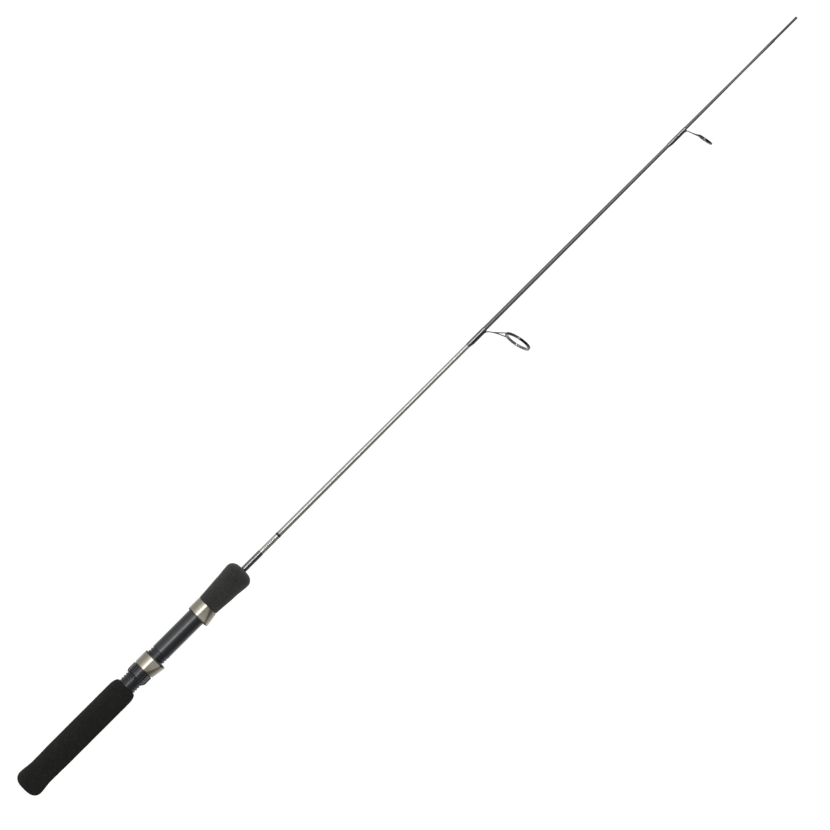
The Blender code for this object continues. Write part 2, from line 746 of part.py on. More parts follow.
def ring_point(guide, angle, radius):
    """A point of the ring, in millimetres, by its angle from the side nearest the rod."""
    local = Vector((0.0, math.cos(angle) * radius, math.sin(angle) * radius)) * METRES_PER_MM
    return guide_frame_matrix(guide) @ local / METRES_PER_MM


def ring_band(guide, name, outer, inner, depth, bevel):
    """One ring of the guide, with bevelled corners."""
    half = depth / 2
    outline = [
        (half, outer - bevel),
        (half - bevel, outer),
        (bevel - half, outer),
        (-half, outer - bevel),
        (-half, inner + bevel),
        (bevel - half, inner),
        (half - bevel, inner),
        (half, inner + bevel),
    ]
    band = turned(name, outline, guide.segments)
    band.matrix_world = guide_frame_matrix(guide) @ Matrix.Rotation(math.pi / 2, 4, "Y")
    return band


def build_guide_rings(guide, surfaces):
    """The hoop is left as a shape for the frame to join. Its cushion and its insert become pieces."""
    hoop_inner = guide.ring_radius - guide.hoop_width
    cushion_outer = hoop_inner - GLUED_FIT
    insert_outer = cushion_outer - guide.cushion_width - GLUED_FIT
    rings = (
        ("cushion", cushion_outer, guide.cushion_width, guide.ring_depth - 0.4, 0.1),
        ("insert", insert_outer, guide.insert_width, guide.ring_depth - 0.1, 0.36),
    )
    for piece, outer, width, depth, bevel in rings:
        name = f"{guide.name}_{piece}"
        finish(name, ring_band(guide, name + "_shape", outer, outer - width, depth, bevel), surfaces[piece])
    return ring_band(guide, guide.name + "_hoop", guide.ring_radius, hoop_inner, guide.ring_depth, 0.25)


def foot_centre(guide):
    return blank_radius(guide.wrap_start) + 2 * COAT_FIT + guide.foot_half_height


def build_guide_frame(guide, hoop, surface):
    """Foot, two wire legs and hoop, brazed into one piece."""
    frame = elliptic_bar(
        guide.name + "_frame_shape",
        guide.wrap_start + FOOT_INSET,
        guide.wrap_end + FOOT_PAST,
        guide.foot_half_height,
        guide.foot_half_width,
        -foot_centre(guide),
        FOOT_FIRST_SHARE,
    )
    for label, side in (("far", -1), ("near", 1)):
        leg = wire(f"{guide.name}_leg_{label}", leg_points(guide, side), guide.wire_radius)
        combine(frame, leg, "UNION")
    combine(frame, hoop, "UNION")
    return finish(guide.name + "_frame", frame, surface)


def leg_points(guide, side):
    """A leg's way from the foot, up past its knee and out to the hoop."""
    level = foot_centre(guide)
    foot_end = guide.wrap_end + FOOT_PAST
    low = blank_radius(guide.wrap_start) + guide.wire_radius + 2 * COAT_FIT
    lowest = ring_point(guide, 0.0, guide.ring_radius)
    landing = ring_point(guide, side * LEG_RING_ANGLE, guide.ring_radius - guide.hoop_width / 2)
    rise = Vector((lowest.x - foot_end, lowest.y + level, 0.0))
    knee = Vector((foot_end, -level, 0.0)) + rise * LEG_KNEE_SHARE
    spread = side * guide.wire_radius * LEG_SPREAD
    return (
        (foot_end - 1.6, -low, spread * 0.75),
        (foot_end - 0.6, -low - 0.05, spread * 0.75),
        (foot_end + 0.9, -low - 1.0, spread * 0.8),
        (knee.x, knee.y, spread),
        tuple(landing),
    )


def sleeve_core(name, guide, ends, lift, ridge_end, taper):
    """A wound sleeve round the blank with a ridge over the foot, still solid inside."""
    start, end = ends
    first, last = blank_radius(start) + lift, blank_radius(end) + lift
    outline = [
        (end, 0.0),
        (end, last - taper * SHOULDER_DROP),
        (end - taper, last),
        (start + taper, first),
        (start, first - taper * SHOULDER_DROP),
        (start, 0.0),
    ]
    core = turned(name, outline, BLANK_SEGMENTS)
    reach = foot_centre(guide) + guide.foot_half_height + lift
    radius = guide.foot_half_width * RIDGE_WIDTH_SHARE + lift
    ramp_start, ramp_end = start + RIDGE_RAMP[0], start + RIDGE_RAMP[1]
    ridge = [
        (ridge_end, 0.0),
        (ridge_end, radius - RIDGE_END[1]),
        (ridge_end - RIDGE_END[0], radius),
        (ramp_end, radius),
        (ramp_start, radius * RIDGE_RAMP_SHARE),
        (ramp_start, 0.0),
    ]
    bump = turned(name + "_ridge", ridge, BLANK_SEGMENTS)
    bump.location = (0.0, -(reach - radius) * METRES_PER_MM, 0.0)
    combine(core, bump, "UNION")
    return core


def room_for_foot(guide):
    """Cutters for the blank, the foot and the legs under a guide's winding."""
    name, past = guide.name, guide.wrap_end + EPOXY_TAIL + CUT_PAST
    level, half_height = foot_centre(guide), guide.foot_half_height + FOOT_ROOM
    channel = elliptic_bar(
        name + "_channel",
        guide.wrap_start + FOOT_INSET - FOOT_PAST,
        past,
        half_height,
        guide.foot_half_width + FOOT_SIDE_ROOM,
        -level,
        0.8,
    )
    side = 2.2 * guide.wire_radius + NOTCH_SIDE
    below = (-level - NOTCH_HEIGHT, -level + half_height * 0.9)
    notch = box(name + "_notch", (guide.wrap_end - NOTCH_LENGTH, past), below, (-side, side))
    return blank_cutter(name + "_blank_cut", guide.wrap_start - CUT_PAST, past), channel, notch


def build_guide_wrap(guide, surfaces):
    """Thread wound over the foot, and the clear coat over the thread."""
    name, start, end = guide.name, guide.wrap_start, guide.wrap_end
    lift = THREAD_THICKNESS + COAT_FIT
    thread_end = end - THREAD_INSET - 0.1
    thread_ends = (start + THREAD_INSET, thread_end)
    thread = sleeve_core(name + "_thread_shape", guide, thread_ends, lift, thread_end, THREAD_SHOULDER)
    lift += COAT_FIT
    inside_ends = (start + THREAD_INSET - COAT_FIT, end - THREAD_INSET)
    inside = sleeve_core(name + "_inside", guide, inside_ends, lift, end - THREAD_INSET, THREAD_SHOULDER)
    lift += EPOXY_THICKNESS
    coat_ends = (start, end + EPOXY_TAIL)
    epoxy = sleeve_core(name + "_epoxy_shape", guide, coat_ends, lift, end + 0.1, COAT_SHOULDER)
    cutters = room_for_foot(guide)
    for shape, cuts in ((thread, cutters), (epoxy, (inside, *cutters))):
        for cutter in cuts:
            combine(shape, cutter, "DIFFERENCE")
    finish(name + "_thread_wrap", thread, surfaces["thread"])
    finish(name + "_epoxy", epoxy, surfaces["epoxy"])


def blank_cutter(name, start, end):
    """The blank's outside between two places, grown by a coat's fit."""
    points = [(x, blank_radius(x) + COAT_FIT) for x in reversed(stations_between(start, end))]
    return turned(name, [(end, 0.0)] + points + [(start, 0.0)], BLANK_SEGMENTS)


# ---------------------------------------------------------------- assembly


def make_materials():
    return {
        "eva": material("eva_foam_black", (0.021, 0.021, 0.019), 0.85),
        "eva_fore": material("eva_foam_charcoal", (0.031, 0.031, 0.029), 0.85),
        "seat": material("graphite_nylon", (0.042, 0.044, 0.046), 0.45),
        "arbor": material("paper_fibre", (0.45, 0.33, 0.2), 0.8),
        "nut": material("nut_nylon", (0.04, 0.041, 0.043), 0.42),
        "hood": material("champagne_nickel", (0.62, 0.57, 0.47), 0.24, 1.0),
        "liner": material("liner_nylon", (0.012, 0.012, 0.012), 0.5),
        "blank": material("graphite_blank", (0.085, 0.085, 0.084), 0.35),
        "spigot": material("spigot_graphite", (0.045, 0.045, 0.046), 0.4),
        "silver": material("silver_lacquer", (0.5, 0.51, 0.48), 0.25, 0.6),
        "label": material("silver_foil", (0.52, 0.53, 0.5), 0.2, 0.8),
        "trim": material("trim_black", (0.015, 0.015, 0.014), 0.25),
        "thread": material("nylon_thread_black", (0.012, 0.012, 0.013), 0.4),
        "epoxy": material("epoxy_over_black", (0.02, 0.02, 0.021), 0.08),
        "frame": material("guide_steel", (0.2, 0.2, 0.21), 0.3, 1.0),
        "cushion": material("cushion_nylon", (0.012, 0.012, 0.012), 0.55),
        "insert": material("insert_ceramic", (0.16, 0.165, 0.17), 0.12),
    }


def main():
    clear_scene()
    new_collection("spinning_rod")
    new_collection("cutters", helpers=True)
    surfaces = make_materials()
    build_blank(surfaces["blank"])
    build_spigot(surfaces["spigot"])
    build_rear_grip(surfaces["eva"])
    build_fore_grip(surfaces["eva_fore"])
    build_coats(surfaces)
    build_barrel(surfaces["seat"])
    build_arbors(surfaces["arbor"])
    build_lock_nut(surfaces["nut"])
    hoods = (
        ("sliding_hood", SLIDING_HOOD_BACK + HOOD_LENGTH, SLIDING_HOOD_BACK, SLIDING_FIT, True),
        ("fixed_hood", SEAT_END - HOOD_LENGTH, SEAT_END, GLUED_FIT, False),
    )
    for name, mouth_x, back_x, fit, keyed in hoods:
        build_hood(name, mouth_x, back_x, BARREL_RADIUS + fit, surfaces, keyed)
    for guide in GUIDES:
        hoop = build_guide_rings(guide, surfaces)
        build_guide_frame(guide, hoop, surfaces["frame"])
        build_guide_wrap(guide, surfaces)


main()
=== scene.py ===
"""Looks of the butt section of a two-piece spinning rod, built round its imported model.

The rod lies along +X with the flat of its butt on x = 0. The reel's foot and the line guides are on the -Y
side, and +Z is up. Sizes in the classes are millimetres and degrees, meshes are metres. Each sub-assembly is
a class whose build() makes its pieces, dresses them and gives them to the frame.
"""

import logging
import math
from collections.abc import Mapping, Sequence
from dataclasses import dataclass, field
from enum import Enum

import bmesh
import bpy
import numpy as np
from mathutils import Matrix, Vector


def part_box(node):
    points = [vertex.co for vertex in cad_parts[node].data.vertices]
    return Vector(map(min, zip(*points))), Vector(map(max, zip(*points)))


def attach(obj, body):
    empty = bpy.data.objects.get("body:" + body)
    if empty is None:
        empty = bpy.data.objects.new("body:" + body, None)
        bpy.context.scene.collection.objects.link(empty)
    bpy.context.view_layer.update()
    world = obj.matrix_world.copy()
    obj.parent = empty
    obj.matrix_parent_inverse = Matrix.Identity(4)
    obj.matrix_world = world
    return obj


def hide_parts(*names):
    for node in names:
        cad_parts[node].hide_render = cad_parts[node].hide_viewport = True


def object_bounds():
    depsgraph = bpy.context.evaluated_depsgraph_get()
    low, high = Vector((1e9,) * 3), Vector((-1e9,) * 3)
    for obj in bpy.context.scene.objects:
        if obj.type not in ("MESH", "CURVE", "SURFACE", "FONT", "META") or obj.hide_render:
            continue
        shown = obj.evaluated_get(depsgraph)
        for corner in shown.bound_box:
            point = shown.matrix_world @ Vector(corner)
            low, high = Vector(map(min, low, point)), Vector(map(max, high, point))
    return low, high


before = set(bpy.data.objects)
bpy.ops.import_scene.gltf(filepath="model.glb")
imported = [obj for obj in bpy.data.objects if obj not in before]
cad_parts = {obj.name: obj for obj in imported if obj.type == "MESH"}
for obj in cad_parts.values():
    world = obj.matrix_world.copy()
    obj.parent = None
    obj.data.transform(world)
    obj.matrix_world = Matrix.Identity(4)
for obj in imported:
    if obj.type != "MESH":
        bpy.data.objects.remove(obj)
cad_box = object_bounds()

LOG = logging.getLogger("spinning_rod")
MM = 0.001
TAU = 2 * math.pi
Point = tuple[float, float]
Corner = tuple[float, float, float]
Radii = float | np.ndarray
WORKED = "worked"


class Body(Enum):
    """The rod's bodies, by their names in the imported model."""

    ROD = "rod"
    HOOD = "hood"
    NUT = "nut"


class Relief(Enum):
    """How a helical relief is cut across one pitch."""

    SCREW = "screw"
    WOUND = "wound"


class Texture(Enum):
    """The patterns that a layer of grain can have."""

    CLOUD = "cloud"
    CELL = "cell"
    TURNED = "turned"
    WOUND = "wound"


# ---------------------------------------------------------------- nodes


def add_node(
    tree: bpy.types.NodeTree, kind: str, inputs: Mapping | None = None, **settings: object
) -> bpy.types.Node:
    """Adds a node with its settings and links.

    Args:
        tree: the tree that it goes in.
        kind: the node's type.
        inputs: by the name or number of a socket, another node's output to link, or a plain value.
        settings: the node's own properties.

    Returns:
        The node.
    """
    node = tree.nodes.new(kind)
    for name, value in settings.items():
        setattr(node, name, value)
    for name, value in (inputs or {}).items():
        if isinstance(value, bpy.types.NodeSocket):
            tree.links.new(value, node.inputs[name])
        else:
            node.inputs[name].default_value = value
    return node


def add_formula(tree: bpy.types.NodeTree, known: dict, steps: Sequence[tuple]) -> dict:
    """Adds a maths node for each step of a formula.

    Args:
        tree: the tree that they go in.
        known: the values so far, by name.
        steps: rows of a result's name, an operation, and what it works on, as names or numbers.

    Returns:
        The values, with each step's result.
    """
    for result, operation, *operands in steps:
        inputs = {place: known.get(operand, operand) for place, operand in enumerate(operands)}
        known[result] = add_node(tree, "ShaderNodeMath", inputs, operation=operation).outputs[0]
    return known


def linear(colour: str) -> tuple[float, float, float, float]:
    """The linear colour, with full alpha, of an sRGB hex value."""
    shares = [int(colour[place : place + 2], 16) / 255 for place in (0, 2, 4)]
    return (*(s / 12.92 if s <= 0.04045 else ((s + 0.055) / 1.055) ** 2.4 for s in shares), 1.0)


# ---------------------------------------------------------------- finishes


@dataclass(frozen=True)
class Grain:
    """One layer of unevenness on a surface.

    size is the spacing in millimetres, depth the height in millimetres, shade the share by which the colour
    darkens in its hollows, polish how much rougher the hollows are, and stretch how far it is drawn out along
    x, y and z. Where a grain also has depth, this darkening of its bumped hollows is painted shade; where it
    has none, it is tone that differs at random.
    """

    size: float
    texture: Texture = Texture.CLOUD
    depth: float = 0.0
    shade: float = 0.0
    polish: float = 0.0
    stretch: tuple[float, float, float] = (1.0, 1.0, 1.0)
    detail: float = 2.0

    def height(self, tree: bpy.types.NodeTree, place: bpy.types.NodeSocket) -> bpy.types.NodeSocket:
        """Adds the texture.

        Args:
            tree: the material's tree.
            place: the point's object coordinates.

        Returns:
            The height, from 0 in the hollows to 1.
        """
        scale = tuple(1 / drawn for drawn in self.stretch)
        mapped = add_node(tree, "ShaderNodeMapping", {"Vector": place, "Scale": scale}).outputs[0]
        if self.texture is Texture.CLOUD:
            sizes = {"Vector": mapped, "Scale": 1 / (self.size * MM), "Detail": self.detail, "Roughness": 0.6}
            return add_node(tree, "ShaderNodeTexNoise", sizes).outputs["Fac"]
        if self.texture is Texture.CELL:
            sizes = {"Vector": mapped, "Scale": 1 / (self.size * MM), "Randomness": 1.0}
            return add_node(tree, "ShaderNodeTexVoronoi", sizes).outputs["Distance"]
        axes = add_node(tree, "ShaderNodeSeparateXYZ", {"Vector": mapped}).outputs
        known = {"x": axes["X"], "y": axes["Y"], "z": axes["Z"]}
        along = [("waves", "DIVIDE", "x", self.size * MM)]
        if self.texture is Texture.WOUND:
            along += [("down", "MULTIPLY", "z", -1.0), ("angle", "ARCTAN2", "y", "down")]
            along += [("turn", "DIVIDE", "angle", TAU), ("waves", "SUBTRACT", "waves", "turn")]
        along += [("phase", "MULTIPLY", "waves", TAU), ("sine", "COSINE", "phase")]
        along += [("height", "MULTIPLY_ADD", "sine", 0.5, 0.5)]
        return add_formula(tree, known, along)["height"]


@dataclass(frozen=True)
class Finish:
    """A surface finish: what it is made of, how it was made, and the layers of grain on it."""

    name: str
    slot: str
    colour: str
    roughness: float
    metallic: float = 0.0
    specular: float = 0.5
    ior: float = 1.5
    coat: float = 0.0
    coat_roughness: float = 0.03
    coat_ior: float = 1.5
    sheen: float = 0.0
    diffuse_roughness: float = 0.0
    grains: tuple[Grain, ...] = ()

    def material(self) -> bpy.types.Material:
        """The finish's material, which is made the first time."""
        return bpy.data.materials.get(self.name) or self.made()

    def made(self) -> bpy.types.Material:
        """Builds the material.

        Returns:
            The new material.
        """
        made = bpy.data.materials.new(self.name)
        made.use_nodes = True
        made.diffuse_color = linear(self.colour)
        tree = made.node_tree
        tree.nodes.clear()
        shader = add_node(tree, "ShaderNodeBsdfPrincipled")
        plain = {
            "Base Color": linear(self.colour),
            "Roughness": self.roughness,
            "Metallic": self.metallic,
            "Specular IOR Level": self.specular,
            "IOR": self.ior,
            "Coat Weight": self.coat,
            "Coat Roughness": self.coat_roughness,
            "Coat IOR": self.coat_ior,
            "Sheen Weight": self.sheen,
            "Diffuse Roughness": self.diffuse_roughness,
        }
        for socket, value in plain.items():
            shader.inputs[socket].default_value = value
        place = add_node(tree, "ShaderNodeTexCoord").outputs["Object"]
        self.dress(tree, shader, place)
        add_node(tree, "ShaderNodeOutputMaterial", {"Surface": shader.outputs[0]})
        return made

    def tint(self, tree: bpy.types.NodeTree, place: bpy.types.NodeSocket) -> bpy.types.NodeSocket | None:
        """The colour before the grain darkens it, where it isn't the same all over."""
        return None

    def dress(self, tree: bpy.types.NodeTree, shader: bpy.types.Node, place: bpy.types.NodeSocket) -> None:
        """Puts the layers of grain on the shader's colour, roughness and normal.

        Args:
            tree: the material's tree.
            shader: the principled shader.
            place: the point's object coordinates.
        """
        colour, roughness, normal = self.tint(tree, place), None, None
        for grain in self.grains:
            height = grain.height(tree, place)
            # Darkens the colour in the grain's hollows: painted shade where the grain has depth, uneven tone
            # where it has none.
            if grain.shade:
                steps = [("shown", "MULTIPLY_ADD", "height", grain.shade, 1 - grain.shade)]
                share = add_formula(tree, {"height": height}, steps)["shown"]
                before = colour if colour is not None else linear(self.colour)
                sides = {"Factor": 1.0, 6: before, 7: share}
                colour = add_node(
                    tree, "ShaderNodeMix", sides, data_type="RGBA", blend_type="MULTIPLY"
                ).outputs[2]
            if grain.polish:
                before = roughness if roughness is not None else self.roughness
                steps = [
                    ("hollow", "SUBTRACT", 0.5, "height"),
                    ("total", "MULTIPLY_ADD", "hollow", grain.polish, "before"),
                ]
                roughness = add_formula(tree, {"height": height, "before": before}, steps)["total"]
            if grain.depth:
                sizes = {"Height": height, "Distance": grain.depth * MM, "Strength": 1.0}
                if normal is not None:
                    sizes["Normal"] = normal
                normal = add_node(tree, "ShaderNodeBump", sizes).outputs[0]
        for socket, value in (("Base Color", colour), ("Roughness", roughness), ("Normal", normal)):
            if value is not None:
                tree.links.new(value, shader.inputs[socket])


@dataclass(frozen=True)
class BandedFinish(Finish):
    """A finish whose colour changes between bands along the rod.

    bands holds the places of the changes in millimetres, edge is how soft they are, and other is the second
    colour.
    """

    other: str = "000000"
    bands: tuple[Point, ...] = ()
    edge: float = 0.1

    def tint(self, tree: bpy.types.NodeTree, place: bpy.types.NodeSocket) -> bpy.types.NodeSocket:
        """The first colour, with the other inside the bands.

        Args:
            tree: the material's tree.
            place: the point's object coordinates.

        Returns:
            The colour.
        """
        known = {"x": add_node(tree, "ShaderNodeSeparateXYZ", {"Vector": place}).outputs["X"], "inside": 0.0}
        for start, end in self.bands:
            middle, half = (start + end) / 2 * MM, (end - start) / 2 * MM
            steps = [
                ("off", "SUBTRACT", "x", middle),
                ("far", "ABSOLUTE", "off"),
                ("in", "SUBTRACT", half, "far"),
                ("sharp", "DIVIDE", "in", self.edge * MM),
                ("low", "MAXIMUM", "sharp", 0.0),
                ("full", "MINIMUM", "low", 1.0),
                ("inside", "MAXIMUM", "inside", "full"),
            ]
            add_formula(tree, known, steps)
        sides = {"Factor": known["inside"], 6: linear(self.colour), 7: linear(self.other)}
        return add_node(tree, "ShaderNodeMix", sides, data_type="RGBA").outputs[2]


@dataclass(frozen=True)
class PrintedFoil(Finish):
    """Foil with a generic printed ornament: rows of short slanted dashes between two pinstripes."""

    ink: str = "4A4844"
    band: Point = (0.0, 1.0)
    pitch: float = 1.9
    slant: float = 0.6
    dash: float = 0.52
    rows: int = 6
    row_half: float = 0.3
    printed: float = 0.72
    stripe_place: float = 0.86
    stripe_half: float = 0.22

    def tint(self, tree: bpy.types.NodeTree, place: bpy.types.NodeSocket) -> bpy.types.NodeSocket:
        """The foil's colour with the print on it.

        Args:
            tree: the material's tree.
            place: the point's object coordinates.

        Returns:
            The colour.
        """
        axes = add_node(tree, "ShaderNodeSeparateXYZ", {"Vector": place}).outputs
        known = {"x": axes["X"], "y": axes["Y"], "z": axes["Z"]}
        middle, half = (self.band[0] + self.band[1]) / 2 * MM, (self.band[1] - self.band[0]) / 2 * MM
        steps = [
            ("angle", "ARCTAN2", "z", "y"),
            ("row", "MULTIPLY", "angle", self.rows / TAU),
            ("row_share", "FRACT", "row"),
            ("off", "SUBTRACT", "x", middle),
            ("slanted", "MULTIPLY_ADD", "row_share", self.slant * self.pitch * MM, "off"),
            ("dashes", "DIVIDE", "slanted", self.pitch * MM),
            ("dash_share", "FRACT", "dashes"),
            ("dash", "LESS_THAN", "dash_share", self.dash),
            ("row_off", "SUBTRACT", "row_share", 0.5),
            ("row_far", "ABSOLUTE", "row_off"),
            ("in_row", "LESS_THAN", "row_far", self.row_half),
            ("far", "ABSOLUTE", "off"),
            ("in_band", "LESS_THAN", "far", half * self.printed),
            ("marked", "MULTIPLY", "dash", "in_row"),
            ("ornament", "MULTIPLY", "marked", "in_band"),
            ("stripe_off", "SUBTRACT", "far", half * self.stripe_place),
            ("stripe_far", "ABSOLUTE", "stripe_off"),
            ("stripe", "LESS_THAN", "stripe_far", self.stripe_half * MM),
            ("ink", "MAXIMUM", "ornament", "stripe"),
        ]
        shown = add_formula(tree, known, steps)["ink"]
        sides = {"Factor": shown, 6: linear(self.colour), 7: linear(self.ink)}
        return add_node(tree, "ShaderNodeMix", sides, data_type="RGBA").outputs[2]


# EVA foam, turned on a lathe and ground: its open cells scatter the light, so it is matt with no highlight.
# The cells are 0.2 mm in the real foam and are drawn three times as coarse, so that they show. Their pits
# and the hollows of the 2.4 mm relief are darkened in colour: painted shade. The 9 mm layer is uneven tone.
FOAM_GRAINS = (
    Grain(0.7, Texture.CELL, depth=0.08, shade=0.6),
    Grain(9.0, shade=0.3, stretch=(1.6, 1.0, 1.0)),
    Grain(2.4, depth=0.12, shade=0.65),
)
REAR_FOAM = Finish(
    "eva_foam_black",
    "eva",
    "383835",
    0.95,
    specular=0.06,
    diffuse_roughness=1.0,
    grains=FOAM_GRAINS,
)
FORE_FOAM = Finish(
    "eva_foam_charcoal",
    "eva_fore",
    "484845",
    0.9,
    specular=0.25,
    sheen=0.1,
    diffuse_roughness=1.0,
    grains=FOAM_GRAINS,
)

# Graphite-filled nylon, injection moulded: a satin skin with a faint flow, so the highlight is broad and
# uneven.
NYLON_GRAINS = (
    Grain(14.0, shade=0.25, polish=0.12, stretch=(2.5, 1.0, 1.0)),
    Grain(0.45, depth=0.012, polish=0.1),
    Grain(2.2, depth=0.012, polish=0.14, stretch=(3.0, 1.0, 1.0)),
)
SEAT_NYLON = Finish("graphite_nylon_moulded", "seat", "212325", 0.34, ior=1.53, grains=NYLON_GRAINS)
NUT_NYLON = Finish("nut_nylon_moulded", "nut", "252628", 0.3, ior=1.53, grains=NYLON_GRAINS)
LINER_NYLON = Finish("liner_nylon_moulded", "liner", "191919", 0.4, ior=1.53, grains=NYLON_GRAINS)
BUSH_NYLON = Finish("bush_nylon_moulded", "cushion", "141414", 0.45, ior=1.53, grains=NYLON_GRAINS[1:2])

# Brass drawn to shape and nickel plated with a champagne tint, brushed round the rod: the highlight runs in a
# line along the hood and spreads round it.
HOOD_PLATE = Finish(
    "champagne_nickel_brushed",
    "hood",
    "9C978B",
    0.34,
    metallic=1.0,
    grains=(
        Grain(0.35, depth=0.004, polish=0.1, stretch=(1.0, 12.0, 12.0)),
        Grain(6.0, shade=0.12, polish=0.08, stretch=(1.0, 2.0, 2.0)),
    ),
)

# Carbon fibre in epoxy, rolled in helical tape and lacquered clear: faint tape turns under a smooth gloss.
# The hollows between the tape turns are darkened a little: painted shade.
BLANK_GRAINS = (
    Grain(1.8, Texture.WOUND, depth=0.006, shade=0.06),
    Grain(0.5, shade=0.22, stretch=(30.0, 1.0, 1.0)),
    Grain(30.0, shade=0.14),
)
BLANK_GRAPHITE = Finish(
    "graphite_lacquered",
    "blank",
    "4A4B49",
    0.34,
    ior=1.55,
    coat=0.35,
    coat_roughness=0.12,
    grains=BLANK_GRAINS,
)
# The same composite ground to size and left bare: finer, duller and darker, with turned marks. The grooves of
# the turned marks are darkened: painted shade.
SPIGOT_GRAPHITE = Finish(
    "graphite_ground",
    "spigot",
    "353637",
    0.48,
    ior=1.55,
    grains=(Grain(0.5, Texture.TURNED, depth=0.003, shade=0.1), Grain(1.5, shade=0.2, polish=0.15)),
)

# Silver lacquer with fine metal flake, sprayed, under a clear gloss coat: bright where it faces the light,
# grey beside. The flake cells are darker where their bump sinks: partly the flakes' own uneven tone and
# partly painted shade in the pits.
SILVER_GRAINS = (
    Grain(0.3, Texture.CELL, depth=0.004, shade=0.1),
    Grain(18.0, shade=0.08, stretch=(3.0, 1.0, 1.0)),
)
SILVER_LACQUER = Finish(
    "silver_lacquer_sprayed",
    "silver",
    "9C9E98",
    0.34,
    metallic=0.75,
    coat=1.0,
    coat_roughness=0.05,
    grains=SILVER_GRAINS,
)

# Nylon thread wound tight: each turn is a small round ridge with a soft shine. The real thread is 0.15 mm.
THREAD_NYLON = Finish(
    "nylon_thread_wound",
    "thread",
    "1B1B1C",
    0.45,
    ior=1.53,
    sheen=0.1,
    grains=(Grain(0.12, shade=0.25, stretch=(1.0, 6.0, 6.0)),),
)
TRIM_THREAD = Finish(
    "nylon_thread_lacquered",
    "trim",
    "171716",
    0.3,
    ior=1.53,
    coat=0.6,
    coat_roughness=0.08,
    grains=(Grain(0.12, shade=0.25, stretch=(1.0, 6.0, 6.0)),),
)

# Steel wire, plated in black nickel and polished: a dark mirror.
GUIDE_STEEL = Finish(
    "steel_wire_black_nickel",
    "frame",
    "3A3B3D",
    0.2,
    metallic=1.0,
    grains=(Grain(1.2, depth=0.004, polish=0.12), Grain(0.25, polish=0.1)),
)
# Alumina ceramic, fired and polished: smooth, hard and dark grey.
RING_CERAMIC = Finish(
    "alumina_polished",
    "insert",
    "55585C",
    0.1,
    ior=1.76,
    coat=0.3,
    coat_roughness=0.03,
    grains=(Grain(0.8, shade=0.12),),
)
# Kraft paper fibre, wound and cut: dull brown with fine layers.
ARBOR_PAPER = Finish(
    "kraft_fibre_wound",
    "arbor",
    "A98660",
    0.85,
    grains=(Grain(0.5, Texture.TURNED, shade=0.2), Grain(3.0, shade=0.2)),
)
FLOOR_PAPER = Finish("studio_paper", "floor", "F4F4F4", 0.9, specular=0.1)


# ---------------------------------------------------------------- outlines


def rounded(corners: Sequence[Corner], steps: int = 4) -> list[Point]:
    """Rounds the corners of an outline.

    Args:
        corners: each corner's x and radius, and how far along its sides the rounding reaches.
        steps: how many pieces each rounding has.

    Returns:
        The outline's points, with its two ends as they are.
    """
    points = [np.array(corner[:2], float) for corner in corners]
    made = [tuple(points[0])]
    for before, here, after, (_, _, reach) in zip(points, points[1:], points[2:], corners[1:-1]):
        if reach == 0:
            made.append(tuple(here))
            continue
        ends = []
        for other in (before, after):
            length = float(np.linalg.norm(other - here))
            ends.append(here + (other - here) * min(reach, 0.48 * length) / length)
        for number in range(steps + 1):
            share = number / steps
            bend = ends[0] * (1 - share) ** 2 + here * 2 * share * (1 - share) + ends[1] * share**2
            made.append(tuple(bend))
    made.append(tuple(points[-1]))
    return made


def refined(points: Sequence[Point], step: float) -> list[Point]:
    """The outline with more points where two lie further apart than a step."""
    made = [points[0]]
    for (x0, r0), (x1, r1) in zip(points, points[1:]):
        count = max(1, math.ceil(math.hypot(x1 - x0, r1 - r0) / step))
        made += [(x0 + (x1 - x0) * n / count, r0 + (r1 - r0) * n / count) for n in range(1, count + 1)]
    return made


def eased(start: Point, end: Point, steps: int) -> list[Point]:
    """An S-shaped change of radius between two points, without the first."""
    shares = [number / steps for number in range(1, steps + 1)]
    bends = [(1 - math.cos(math.pi * share)) / 2 for share in shares]
    along, across = end[0] - start[0], end[1] - start[1]
    return [(start[0] + along * share, start[1] + across * bend) for share, bend in zip(shares, bends)]


def quarter(centre: Point, radii: Point, start: float, steps: int) -> list[Point]:
    """Points on a quarter of an ellipse, from an angle in radians and on by a right angle."""
    turns = [start - math.pi / 2 * number / steps for number in range(steps + 1)]
    return [(centre[0] + radii[0] * math.cos(turn), centre[1] + radii[1] * math.sin(turn)) for turn in turns]


def span(node: str) -> Point:
    """Where a CAD node starts and ends along the rod, in millimetres."""
    low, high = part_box(node)
    return low.x / MM, high.x / MM


# ---------------------------------------------------------------- meshes


@dataclass
class Loop:
    """A loop of points round the rod: its place along it, its radius, and whether a relief works on it."""

    x: float
    radius: Radii
    worked: float = 0.0


